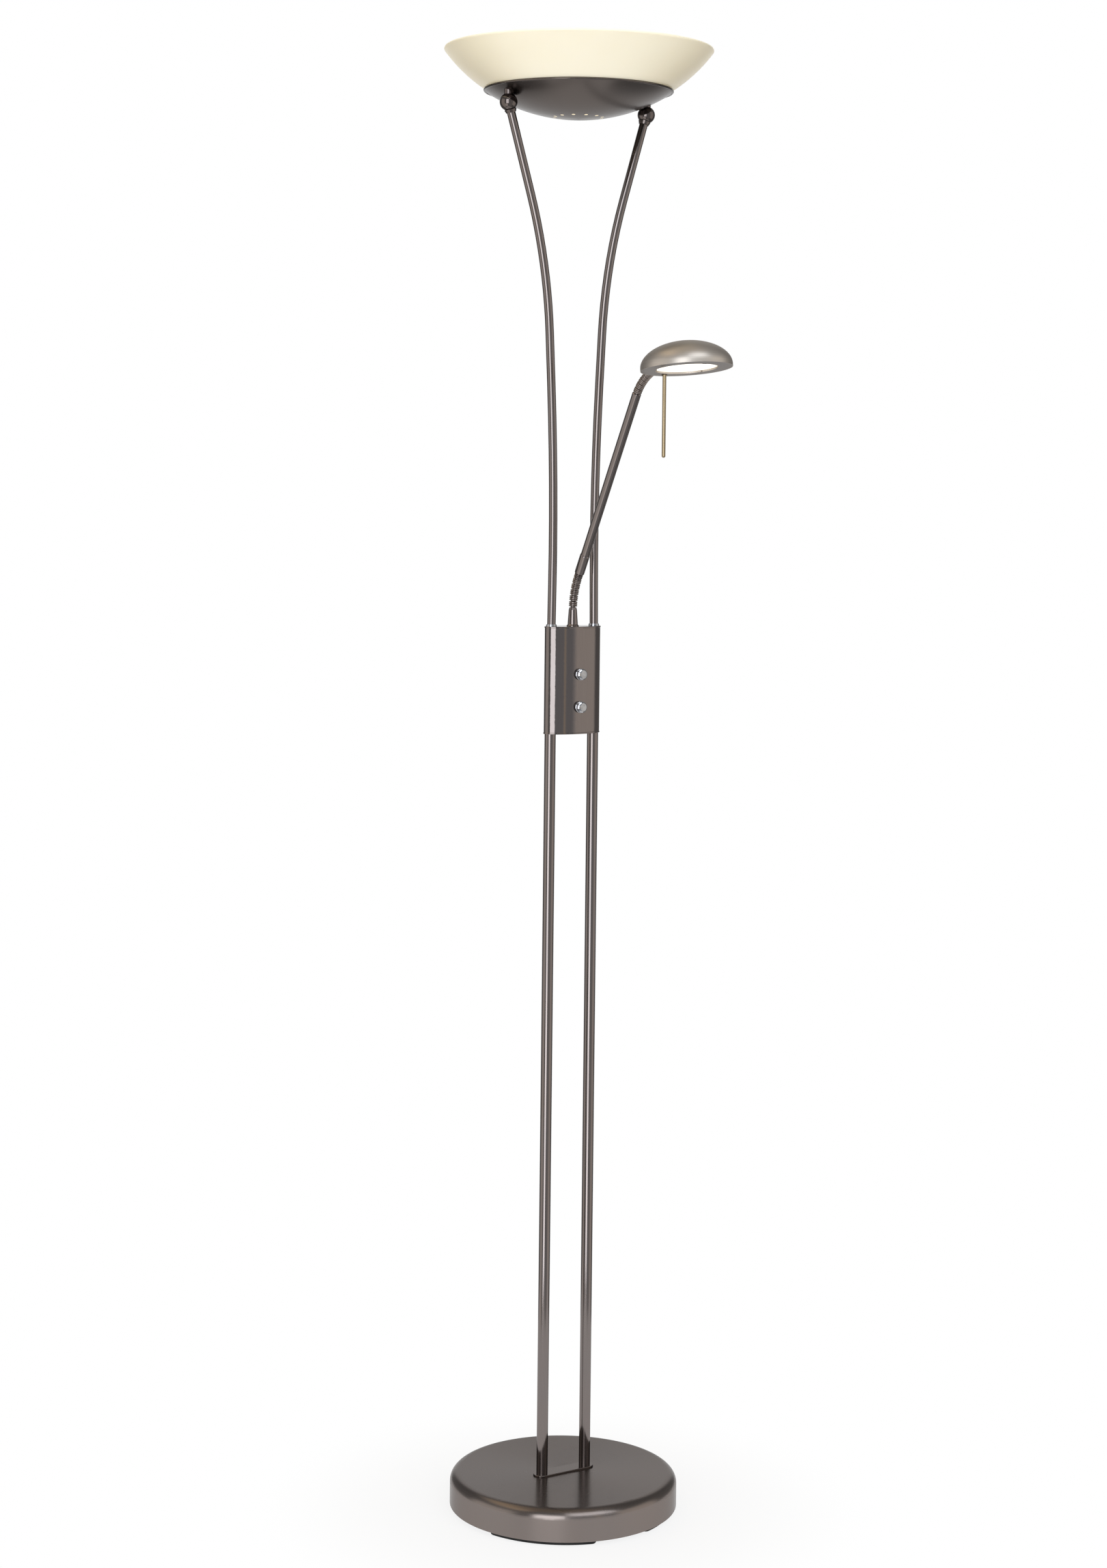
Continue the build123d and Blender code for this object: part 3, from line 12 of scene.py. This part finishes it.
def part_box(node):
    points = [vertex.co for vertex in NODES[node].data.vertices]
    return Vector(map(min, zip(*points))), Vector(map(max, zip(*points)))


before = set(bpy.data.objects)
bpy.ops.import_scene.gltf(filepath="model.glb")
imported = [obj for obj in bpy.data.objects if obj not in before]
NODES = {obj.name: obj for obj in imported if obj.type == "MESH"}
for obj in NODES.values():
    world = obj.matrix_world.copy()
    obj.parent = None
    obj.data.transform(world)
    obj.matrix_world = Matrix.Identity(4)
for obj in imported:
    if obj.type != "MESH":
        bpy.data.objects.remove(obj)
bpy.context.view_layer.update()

# ---------------------------------------------------------------- camera, in metres and degrees
PHOTO_HEIGHT = 2296           # pixels, the longer side of the frame
SENSOR = 36.0                 # mm, for the frame's longer side
CAMERA_YAW = 33.356           # where the camera stands, round from -Y towards -X
CAMERA_PAN = -0.406           # how far it looks aside from the lamp's axis
CAMERA_DISTANCE = 3.5557
CAMERA_HEIGHT = 1.2747
CAMERA_PITCH = 0.856          # downwards
CAMERA_ROLL = 0.639
CAMERA_FOCAL = 4198.9         # in the photograph's pixels
CAMERA_SHIFT = -0.165         # downwards, in heights of the frame

# ---------------------------------------------------------------- places read from the frame
HEAD_AXIS = tuple((a + b) / 2 for a, b in zip(*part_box("head_ring")))
BOWL_LOW, BOWL_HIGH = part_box("glass_bowl")
TUBE_LOW, TUBE_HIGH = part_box("halogen_tube")
BASE_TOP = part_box("base_cover")[1][2]

# ---------------------------------------------------------------- sizes of the looks
# parts of a noise's values over which a tone goes from one end to the other
NARROW, WIDE, UPPER = (0.35, 0.65), (0.3, 0.7), (0.35, 0.7)
# noise scales are counted per metre, so 1500 is a grain of about 0.7 mm
GRAINS = {"z": (2600, 2600, 40), "x": (40, 2600, 2600), "fine": (1500, 1500, 1500)}
RING_GRAIN = 1500             # turned lines round an axis
CLOUD = 9                     # broad, faint changes of tone
SCUFFS = 60
STREAK = 0.05                 # how far a brushed line's tone departs from the metal's
BRUSHED_BUMP = (0.015, 0.00002)   # strength and depth
QUARTER_TURN = 0.25           # of the anisotropy, across the turned lines

BASE_EDGE = 0.009             # depth over which the base's top rounds down to its wall
BASE_WALL_PAINTED_GAIN = 1.55         # painted light: how much brighter the wall's colour is made than the top's
VENT_REACH = (0.040, 0.045)   # radii between which the painted glow on the vent walls ends
VENT_WALL = (0.45, 0.75)      # a normal's Z: a wall up to the first, no wall from the second
# strength of the painted glow on the vent walls
VENT_PAINTED_GLOW = 0.9

# painted glow on the glass bowl: emission in place of the tube's light through the glass
PAINTED_GLOW_TURN = 30                # degrees from +Y of the two sides of the bowl whose painted glow is strongest
BOWL_PAINTED_GLOW = 0.45
LIP = (0.0025, 0.0008)        # below the rim, where its painted bright line begins and is full
LIP_PAINTED_GLOW = 0.35
BOWL_FLOOR = (0.050, 0.070)   # radii between which the painted glow on the bowl's floor under the tube ends
BOWL_FLOOR_PAINTED_GLOW = 4.0
COIL_END = (0.018, 0.012)     # inside the tube's ends, where its glow begins to fall and is gone
TUBE_GLOW = 3.0
DIFFUSER_RIM = (0.030, 0.047)   # radii between which the diffuser's painted glow turns warm
DIFFUSER_PAINTED_GLOW = (1.0, 0.55)   # strength of the painted glow in the middle and at the rim

FLOOR_HALF = 0.8              # half its side; past it, metal mirrors the studio
FLOOR_FADE = (0.14, 0.4)      # radii over which the floor turns from shaded to plain white
FLOOR_WHITE = 0.85            # share of plain white at the lamp's foot


def srgb(*values):
    """Screen values of 0 to 255 as a linear colour."""
    def linear(v):
        return v / 12.92 if v <= 10 / 255 else ((v + 0.055) / 1.055) ** 2.4
    return tuple(linear(v / 255) for v in values) + (1.0,)


def tinted(colour, *gains):
    """The colour with each channel multiplied by its gain, at most white."""
    gains = gains * 3 if len(gains) == 1 else gains
    return tuple(min(c * k, 1) for c, k in zip(colour[:3], gains)) + (1.0,)


WHITE = (1.0, 1.0, 1.0, 1.0)
NICKEL = srgb(124, 117, 115)
# the same nickel set darker, as painted shade
DARK_NICKEL = srgb(106, 99, 96)


# ---------------------------------------------------------------- node helpers
class Net:
    """A small builder for the nodes of a material or of the world."""

    def __init__(self, owner):
        owner.use_nodes = True
        self.nodes = owner.node_tree.nodes
        self.links = owner.node_tree.links
        self.nodes.clear()

    def link(self, a, b):
        self.links.new(a, b)

    def put(self, value, socket):
        """Links a socket, or sets a plain value."""
        if isinstance(value, bpy.types.NodeSocket):
            self.link(value, socket)
        else:
            socket.default_value = value

    def scaled(self, scale, offset=(0, 0, 0)):
        """The surface's own coordinates from an offset, stretched."""
        node = self.nodes.new("ShaderNodeMapping")
        node.vector_type = "POINT"
        node.inputs["Scale"].default_value = scale
        node.inputs["Location"].default_value = [-o * s for o, s in zip(offset, scale)]
        self.link(self.coord, node.inputs["Vector"])
        return node.outputs[0]

    def dot(self, vector, way):
        node = self.nodes.new("ShaderNodeVectorMath")
        node.operation = "DOT_PRODUCT"
        self.link(vector, node.inputs[0])
        node.inputs[1].default_value = way
        return node.outputs["Value"]

    def noise(self, vector, scale, detail, rough, dims="3D"):
        node = self.nodes.new("ShaderNodeTexNoise")
        node.noise_dimensions = dims
        self.link(vector, node.inputs["W" if dims == "1D" else "Vector"])
        node.inputs["Scale"].default_value = scale
        node.inputs["Detail"].default_value = detail
        node.inputs["Roughness"].default_value = rough
        return node.outputs["Fac"]

    def math(self, kind, a, b=0.0):
        node = self.nodes.new("ShaderNodeMath")
        node.operation = kind
        self.put(a, node.inputs[0])
        self.put(b, node.inputs[1])
        return node.outputs[0]

    def range(self, value, a, b, low, high, smooth=False):
        """Low where the value is a, high where it is b."""
        node = self.nodes.new("ShaderNodeMapRange")
        node.interpolation_type = "SMOOTHSTEP" if smooth else "LINEAR"
        self.put(value, node.inputs["Value"])
        for key, v in (("From Min", a), ("From Max", b), ("To Min", low), ("To Max", high)):
            node.inputs[key].default_value = v
        return node.outputs[0]

    def window(self, value, low, high, soft):
        """One between low and high, falling smoothly to nothing outside."""
        rise = self.range(value, low - soft, low + soft, 0, 1, True)
        return self.math("MULTIPLY", rise, self.range(value, high - soft, high + soft, 1, 0, True))

    def shown(self):
        """One for rays that show a surface: seen, mirrored or seen through glass."""
        path = self.nodes.new("ShaderNodeLightPath")
        seen = self.math("MAXIMUM", path.outputs["Is Camera Ray"], path.outputs["Is Glossy Ray"])
        return self.math("MAXIMUM", seen, path.outputs["Is Transmission Ray"])

    def mix(self, factor, a, b, kind="MIX"):
        """A colour between a and b."""
        node = self.nodes.new("ShaderNodeMix")
        node.data_type, node.blend_type = "RGBA", kind
        for value, socket in zip((factor, a, b), (0, 6, 7)):
            self.put(value, node.inputs[socket])
        return node.outputs[2]

    def blend(self, factor, a, b):
        """A number between a and b."""
        node = self.nodes.new("ShaderNodeMix")
        node.data_type = "FLOAT"
        for value, socket in zip((factor, a, b), (0, 2, 3)):
            self.put(value, node.inputs[socket])
        return node.outputs[0]

    def axis(self, name, source=None):
        """One coordinate of the surface, or of another vector."""
        node = self.nodes.new("ShaderNodeSeparateXYZ")
        self.link(source or self.coord, node.inputs[0])
        return node.outputs[name]

    def radius(self, centre=(0, 0, 0)):
        """Distance from a vertical axis through centre."""
        flat = self.scaled((1, 1, 0), centre)
        node = self.nodes.new("ShaderNodeVectorMath")
        node.operation = "LENGTH"
        self.link(flat, node.inputs[0])
        return node.outputs["Value"]

    def bump(self, height, strength, distance):
        node = self.nodes.new("ShaderNodeBump")
        node.inputs["Strength"].default_value = strength
        node.inputs["Distance"].default_value = distance
        self.link(height, node.inputs["Height"])
        return node.outputs[0]


class Tree(Net):
    """One material with a Principled shader."""

    def __init__(self, name):
        self.mat = bpy.data.materials.new(name)
        super().__init__(self.mat)
        self.out = self.nodes.new("ShaderNodeOutputMaterial")
        self.bsdf = self.nodes.new("ShaderNodeBsdfPrincipled")
        self.link(self.bsdf.outputs[0], self.out.inputs[0])
        self.coord = self.nodes.new("ShaderNodeTexCoord").outputs["Object"]

    def set(self, **values):
        """Links or sets the shader's sockets, with _ for a space in a name."""
        for key, value in values.items():
            self.put(value, self.bsdf.inputs[key.replace("_", " ")])

    def mottled(self, pattern, low, high, a, b):
        """Colour a where the pattern is low, b where it is high."""
        return self.mix(self.range(pattern, low, high, 0, 1), a, b)


# ---------------------------------------------------------------- materials
def metal(name, colour, rough, grain, centre=(0, 0, 0), turned=0.0, spread=0.015, graze=0.7):
    """Satin plated metal: fine brushed lines, a faint warm cloud and thin scuffs.

    Turned metal stretches its highlights across the lines that run round its axis. Graze is how
    bright the plating mirrors at a flat angle.
    """
    t = Tree(name)
    if grain == "ring":
        lines = t.noise(t.radius(centre), RING_GRAIN, 4, 0.65, "1D")
    else:
        lines = t.noise(t.scaled(GRAINS[grain]), 1.0, 3, 0.6)
    cloud = t.noise(t.coord, CLOUD, 3, 0.5)
    scuffs = t.noise(t.scaled((1, 1, 0.5)), SCUFFS, 6, 0.7)
    brushed = t.mottled(lines, *NARROW, tinted(colour, 1 - STREAK), tinted(colour, 1 + STREAK))
    warm = tinted(colour, 1.04, 0.98, 0.93)
    t.set(Base_Color=t.mix(t.range(cloud, *UPPER, 0, 0.5), brushed, warm), Metallic=1.0)
    uneven = t.math("ADD", t.range(lines, *WIDE, -spread, spread),
                    t.range(scuffs, 0.5, 0.8, 0, 2 * spread))
    t.set(Roughness=t.math("ADD", uneven, rough), Normal=t.bump(lines, *BRUSHED_BUMP))
    t.set(Specular_Tint=(graze, graze, graze, 1.0))
    if turned:
        t.set(Anisotropic=turned, Anisotropic_Rotation=QUARTER_TURN)
        round_axis = t.nodes.new("ShaderNodeTangent")
        round_axis.direction_type, round_axis.axis = "RADIAL", "Z"
        t.set(Tangent=round_axis.outputs[0])
    return t


def painted_bright_wall(t):
    """The same metal, painted brighter below the base's rounded edge, on its upright wall: painted
    light.
    """
    colour = t.bsdf.inputs["Base Color"].links[0].from_socket
    gain = (BASE_WALL_PAINTED_GAIN, BASE_WALL_PAINTED_GAIN, BASE_WALL_PAINTED_GAIN, 1.0)
    # painted light: the wall's colour multiplied brighter than the top's
    bright = t.mix(1.0, colour, gain, "MULTIPLY")
    above = t.range(t.axis("Z"), BASE_TOP - BASE_EDGE, BASE_TOP, 0, 1, True)
    t.set(Base_Color=t.mix(above, bright, colour))
    return t


def with_painted_vent_glow(t):
    """Painted glow: warm emission on the walls of the small vents near the dish's middle, as if lit
    from inside.
    """
    normal = t.nodes.new("ShaderNodeNewGeometry").outputs["Normal"]
    wall = t.range(t.math("ABSOLUTE", t.axis("Z", normal)), *VENT_WALL, 1, 0)
    near = t.range(t.radius(), *VENT_REACH, 1, 0)
    vent_painted_glow = t.math("MULTIPLY", wall, near)
    # painted light: the metal vent walls glow as if lit from inside
    t.set(Emission_Color=srgb(255, 240, 206), Emission_Strength=t.math("MULTIPLY", vent_painted_glow, VENT_PAINTED_GLOW))
    return t


def chrome(name):
    """Bright chrome with a faint bloom of fingerprints."""
    t = Tree(name)
    cloud = t.noise(t.coord, 260, 3, 0.6)
    t.set(Base_Color=t.mottled(cloud, 0.4, 0.7, srgb(178, 179, 182), srgb(150, 151, 155)),
          Metallic=1.0, Roughness=t.range(cloud, *UPPER, 0.03, 0.10),
          Normal=t.bump(t.noise(t.coord, 900, 2, 0.5), 0.03, 0.00002))
    return t


def plated(name, colour, rough):
    """Zinc or bright steel fittings with a faint crystal bloom."""
    t = Tree(name)
    cells = t.nodes.new("ShaderNodeTexVoronoi")
    cells.inputs["Scale"].default_value = 420
    t.link(t.coord, cells.inputs["Vector"])
    bloom = t.range(cells.outputs["Distance"], 0, 1, 0, 1)
    patches = t.noise(t.coord, 300, 4, 0.6)
    t.set(Base_Color=t.mix(bloom, colour, tinted(colour, 0.78)), Metallic=1.0,
          Roughness=t.range(patches, *WIDE, rough - 0.08, rough + 0.1),
          Normal=t.bump(bloom, 0.06, 0.00005))
    return t


def casting(name):
    """Rough grey iron."""
    t = Tree(name)
    lumps = t.noise(t.coord, 240, 6, 0.7)
    t.set(Base_Color=t.mottled(lumps, *NARROW, srgb(34, 33, 33), srgb(62, 58, 55)),
          Metallic=0.6, Roughness=t.range(lumps, *WIDE, 0.65, 0.9),
          Normal=t.bump(lumps, 0.6, 0.0006))
    return t


def moulded(name, colour, rough, scale, depth, speck=0.25):
    """Rubber, plastic, paint and ceramic: a solid colour with its own fine surface."""
    t = Tree(name)
    fine = t.noise(t.coord, scale, 4, 0.6)
    broad = t.noise(t.coord, 30, 3, 0.5)
    mixed = t.mottled(fine, *NARROW, tinted(colour, 1 - speck), colour)
    t.set(Base_Color=t.mix(t.range(broad, 0.4, 0.75, 0, 0.4), mixed, tinted(colour, 1 + speck)),
          Roughness=t.range(fine, *WIDE, rough - 0.08, rough + 0.08),
          Normal=t.bump(fine, 0.4, depth))
    return t


def opal_glass(name):
    """Cream satin glass round a long tube, with painted glow: two opposite sides glow more, and the
    floor most.
    """
    t = Tree(name)
    turn, z = math.radians(PAINTED_GLOW_TURN), t.axis("Z")
    radius = t.math("MAXIMUM", t.radius(), 0.001)
    across = t.dot(t.coord, (math.sin(turn), math.cos(turn), 0))
    broadside = t.math("ABSOLUTE", t.math("DIVIDE", across, radius))
    height = t.range(z, BOWL_LOW[2], BOWL_HIGH[2], 0, 1)
    cloud = t.noise(t.coord, CLOUD, 3, 0.5)
    fine = t.noise(t.coord, 700, 3, 0.6)
    t.set(Base_Color=t.mottled(cloud, *UPPER, srgb(204, 195, 172), srgb(209, 201, 181)),
          Roughness=t.range(fine, *WIDE, 0.28, 0.38), Normal=t.bump(fine, 0.04, 0.00003))

    # painted glow, strongest on two opposite sides turned from the tube's broadside
    ends, sides = t.range(height, 0.2, 0.8, 0.36, 0.48), t.range(height, 0.3, 1.0, 1.0, 0.95)
    glow = t.blend(t.range(broadside, 0.25, 1.0, 0, 1, True), ends, sides)
    # painted bright line just under the rim
    lip = t.range(z, BOWL_HIGH[2] - LIP[0], BOWL_HIGH[2] - LIP[1], 0, LIP_PAINTED_GLOW)
    # painted glow on the bowl's floor under the tube
    floor = t.math("MULTIPLY", t.range(radius, *BOWL_FLOOR, BOWL_FLOOR_PAINTED_GLOW, 0.0, True),
                   t.range(height, 0.0, 0.25, 1.0, 0.0, True))
    glow = t.math("ADD", t.math("ADD", glow, lip), floor)
    t.set(Emission_Color=t.mottled(glow, 0.2, 1.0, srgb(240, 222, 172), srgb(255, 251, 231)),
          Emission_Strength=t.math("MULTIPLY", glow, BOWL_PAINTED_GLOW))
    t.set(Subsurface_Weight=0.25, Subsurface_Radius=(0.006, 0.005, 0.003), Subsurface_Scale=1.0)
    return t


def quartz(name):
    """Pale quartz that glows along its coil and stays unlit toward its sealed ends."""
    t = Tree(name)
    fine = t.noise(t.coord, 500, 3, 0.6)
    half = (TUBE_HIGH[0] - TUBE_LOW[0]) / 2
    coil = t.range(t.math("ABSOLUTE", t.axis("X")), half - COIL_END[0], half - COIL_END[1],
                   1.0, 0.0, True)
    t.set(Base_Color=t.mottled(fine, *WIDE, srgb(250, 247, 240), srgb(236, 232, 222)),
          Roughness=t.range(fine, *WIDE, 0.03, 0.12),
          Emission_Color=srgb(255, 238, 205), Emission_Strength=t.math("MULTIPLY", coil, TUBE_GLOW))
    return t


def frosted(name):
    """The reading light's diffuser, with painted glow: white in the middle, warmer where it meets
    the ring.
    """
    t = Tree(name)
    fine = t.noise(t.coord, 900, 3, 0.6)
    rim = t.range(t.radius(HEAD_AXIS), *DIFFUSER_RIM, 0, 1, True)
    t.set(Base_Color=t.mottled(fine, *WIDE, srgb(244, 240, 228), srgb(232, 226, 210)),
          # painted glow in place of the capsule's light, warmer toward the ring
          Emission_Color=t.mix(rim, srgb(255, 252, 244), srgb(255, 226, 160)),
          Emission_Strength=t.range(rim, 0, 1, *DIFFUSER_PAINTED_GLOW),
          Roughness=t.range(fine, *WIDE, 0.45, 0.6), Normal=t.bump(fine, 0.2, 0.0001))
    return t


# each look, then the nodes that wear it
LOOKS = [
    # painted light and shade: one nickel plating whose tone is set part by part, as each part shows
    (metal("drawn_nickel", NICKEL, 0.09, "z"), ["lower_pole_left", "lower_pole_right"]),
    (metal("bent_nickel", NICKEL, 0.09, "fine"),
     ["upper_pole_left", "upper_pole_right", "arm_ferrule", "arm_sleeve", "arm_tube"]),
    (metal("housing_nickel", NICKEL, 0.055, "z"),
     ["housing_shell", "housing_cap_bottom", "housing_cap_top"]),
    # the base's wall carries painted light, brighter than its top
    (painted_bright_wall(metal("spun_nickel", DARK_NICKEL, 0.25, "ring", turned=0.75)), ["base_cover"]),
    # the dish and balls are set darker than the other nickel parts: painted shade
    (with_painted_vent_glow(metal("dish_nickel", srgb(98, 92, 89), 0.24, "ring", turned=0.5)), ["dish"]),
    (metal("plate_nickel", DARK_NICKEL, 0.14, "x"), ["foot_plate"]),
    (metal("ball_nickel", srgb(104, 97, 95), 0.14, "fine"), ["support_balls", "ball_washers"]),
    # the gooseneck, head dome and head ring are set lighter: painted light
    (metal("neck_nickel", srgb(146, 138, 134), 0.3, "fine"),
     [node for node in NODES if "neck_link" in node] + ["head_coupling"]),
    (metal("head_nickel", srgb(194, 187, 179), 0.43, "ring", HEAD_AXIS, turned=0.2, spread=0.006,
           graze=0.45), ["head_dome"]),
    (metal("ring_nickel", srgb(180, 174, 170), 0.34, "ring", HEAD_AXIS, graze=0.35),
     ["head_ring"]),
    (metal("rod_nickel", srgb(158, 142, 114), 0.14, "z"), ["handle_rod"]),
    (chrome("knob_chrome"), ["knob_lower", "knob_upper", "pole_collars"]),
    (plated("zinc_plate", srgb(168, 168, 165), 0.32),
     ["pole_screws", "plate_screws", "pole_nuts", "lamp_nuts", "dimmer_nuts", "dish_studs",
      "bowl_post", "bowl_seat", "head_nut", "lamp_bracket"]),
    (plated("bright_reflector", srgb(222, 222, 222), 0.2), ["reflector_tray", "head_reflector"]),
    (casting("grey_iron"), ["base_weight"]),
    (moulded("black_paint", srgb(26, 26, 26), 0.42, 1200, 0.00005), ["base_plate"]),
    (moulded("soft_rubber", srgb(20, 20, 20), 0.75, 900, 0.0001),
     ["base_feet", "cord_bush", "bowl_gaskets"]),
    (moulded("moulded_black", srgb(24, 24, 25), 0.45, 1500, 0.00006),
     ["dimmer_lower", "dimmer_upper", "terminal_block"]),
    (moulded("fine_ceramic", srgb(224, 218, 204), 0.6, 800, 0.00006, 0.06),
     ["end_holders", "head_lampholder"]),
    (opal_glass("opal_cream"), ["glass_bowl"]),
    (quartz("lamp_quartz"), ["halogen_tube", "head_capsule"]),
    (frosted("frosted_diffuser"), ["head_diffuser"]),
]
for look, wearers in LOOKS:
    for wearer in wearers:
        for place in NODES[wearer].material_slots:
            place.material = look.mat


# ---------------------------------------------------------------- floor
def pale_floor():
    """A floor that keeps the lamp's shadow and turns plain white away from it."""
    corners = [(x * FLOOR_HALF, y * FLOOR_HALF, 0) for x, y in ((-1, -1), (1, -1), (1, 1), (-1, 1))]
    mesh = bpy.data.meshes.new("floor")
    mesh.from_pydata(corners, [], [(0, 1, 2, 3)])
    floor = bpy.data.objects.new("floor", mesh)
    bpy.context.scene.collection.objects.link(floor)
    t = Tree("floor_white")
    grain = t.noise(t.coord, 120, 3, 0.6)
    t.set(Base_Color=t.mottled(grain, *WIDE, tinted(WHITE, 0.93), tinted(WHITE, 0.95)),
          Roughness=0.8)
    white = t.nodes.new("ShaderNodeEmission")
    blend = t.nodes.new("ShaderNodeMixShader")
    away = t.range(t.radius(), *FLOOR_FADE, FLOOR_WHITE, 1, True)
    t.link(t.math("MULTIPLY", t.shown(), away), blend.inputs[0])
    t.link(t.bsdf.outputs[0], blend.inputs[1])
    t.link(white.outputs[0], blend.inputs[2])
    t.link(blend.outputs[0], t.out.inputs[0])
    mesh.materials.append(t.mat)


# ---------------------------------------------------------------- studio
# cards of light in a dim room: azimuth from and to, elevation from and to, softness of the edges,
# all in degrees, then radiance and colour; azimuth 0 is where the camera stands, and it grows to
# the camera's right
CARDS = {
    "valley": (0, 58, -60, 32, 6, 0.46, (0.93, 0.96, 1.0)),
    "key": (-29, 2, -22, 30, 2, 3.6, (0.93, 0.96, 1.0)),
    "left": (-102, -50, -60, 30, 8, 0.98, (1.0, 0.96, 0.91)),
    "low": (-50, -10, -58, -26, 6, 1.35, (1.0, 0.97, 0.94)),
    "glint": (33, 38, -60, 30, 2.5, 0.72, (1.0, 0.88, 0.72)),
    "right": (56, 106, -36, 32, 6, 0.92, (1.0, 0.95, 0.89)),
    "top": (6, 62, 32, 62, 4, 2.9, (0.91, 0.95, 1.0)),
    "gold": (-150, -50, 48, 80, 9, 1.35, (1.0, 0.80, 0.56)),
    "ceiling": (-360, 360, 66, 120, 12, 0.5, (1.0, 0.86, 0.7)),
}
ROOM = 0.28                   # radiance between the cards
BACKDROP = 158                # azimuth beyond which the white backdrop hangs, on both sides
BACKDROP_TOP = 40             # elevation that it reaches
BACKDROP_SOFT = 6


def studio_world():
    """Dim room with soft cards of light and a white backdrop, which the camera sees everywhere."""
    world = bpy.data.worlds.new("studio")
    bpy.context.scene.world = world
    w = Net(world)
    out = w.nodes.new("ShaderNodeOutputWorld")
    back = w.nodes.new("ShaderNodeBackground")
    w.link(back.outputs[0], out.inputs[0])
    way = w.nodes.new("ShaderNodeTexCoord").outputs["Generated"]
    yaw = math.radians(CAMERA_YAW)
    across = w.dot(way, (math.cos(yaw), -math.sin(yaw), 0))
    near = w.dot(way, (-math.sin(yaw), -math.cos(yaw), 0))
    azimuth = w.math("DEGREES", w.math("ARCTAN2", across, near))
    elevation = w.math("DEGREES", w.math("ARCSINE", w.axis("Z", way)))
    colour, level = WHITE, ROOM
    for left, right, low, high, soft, radiance, tint in CARDS.values():
        inside = w.math("MULTIPLY", w.window(azimuth, left, right, soft),
                        w.window(elevation, low, high, soft))
        colour = w.mix(inside, colour, tint + (1.0,))
        level = w.blend(inside, level, radiance)
    behind = w.range(w.math("ABSOLUTE", azimuth), BACKDROP - BACKDROP_SOFT,
                     BACKDROP + BACKDROP_SOFT, 0, 1, True)
    below_top = w.range(elevation, BACKDROP_TOP - BACKDROP_SOFT, BACKDROP_TOP + BACKDROP_SOFT,
                        1, 0, True)
    seen = w.nodes.new("ShaderNodeLightPath").outputs["Is Camera Ray"]
    white = w.math("MAXIMUM", w.math("MULTIPLY", behind, below_top), seen)
    w.put(w.mix(white, colour, WHITE), back.inputs["Color"])
    w.put(w.blend(white, level, 1.0), back.inputs["Strength"])


# ---------------------------------------------------------------- camera
def photo_camera():
    """The photograph's camera: nearly level, shifted down to take in the whole lamp."""
    data = bpy.data.cameras.new("camera")
    data.sensor_width, data.sensor_fit = SENSOR, "AUTO"
    data.lens = CAMERA_FOCAL / PHOTO_HEIGHT * SENSOR
    data.shift_y = CAMERA_SHIFT
    camera = bpy.data.objects.new("camera", data)
    bpy.context.scene.collection.objects.link(camera)
    yaw, look = math.radians(CAMERA_YAW), math.radians(CAMERA_YAW + CAMERA_PAN)
    pitch, roll = math.radians(CAMERA_PITCH), math.radians(CAMERA_ROLL)
    flat = Vector((math.sin(look), math.cos(look), 0))
    right = Vector((math.cos(look), -math.sin(look), 0))
    forward = flat * math.cos(pitch) - Vector((0, 0, 1)) * math.sin(pitch)
    up = Vector((0, 0, 1)) * math.cos(pitch) + flat * math.sin(pitch)
    x = right * math.cos(roll) + up * math.sin(roll)
    y = up * math.cos(roll) - right * math.sin(roll)
    place = Vector((-math.sin(yaw) * CAMERA_DISTANCE, -math.cos(yaw) * CAMERA_DISTANCE,
                    CAMERA_HEIGHT))
    turn = Matrix((x, y, -forward)).transposed().to_4x4()
    camera.matrix_world = Matrix.Translation(place) @ turn
    bpy.context.scene.camera = camera


pale_floor()
studio_world()
photo_camera()

scene = bpy.context.scene
scene.view_settings.view_transform = "Standard"
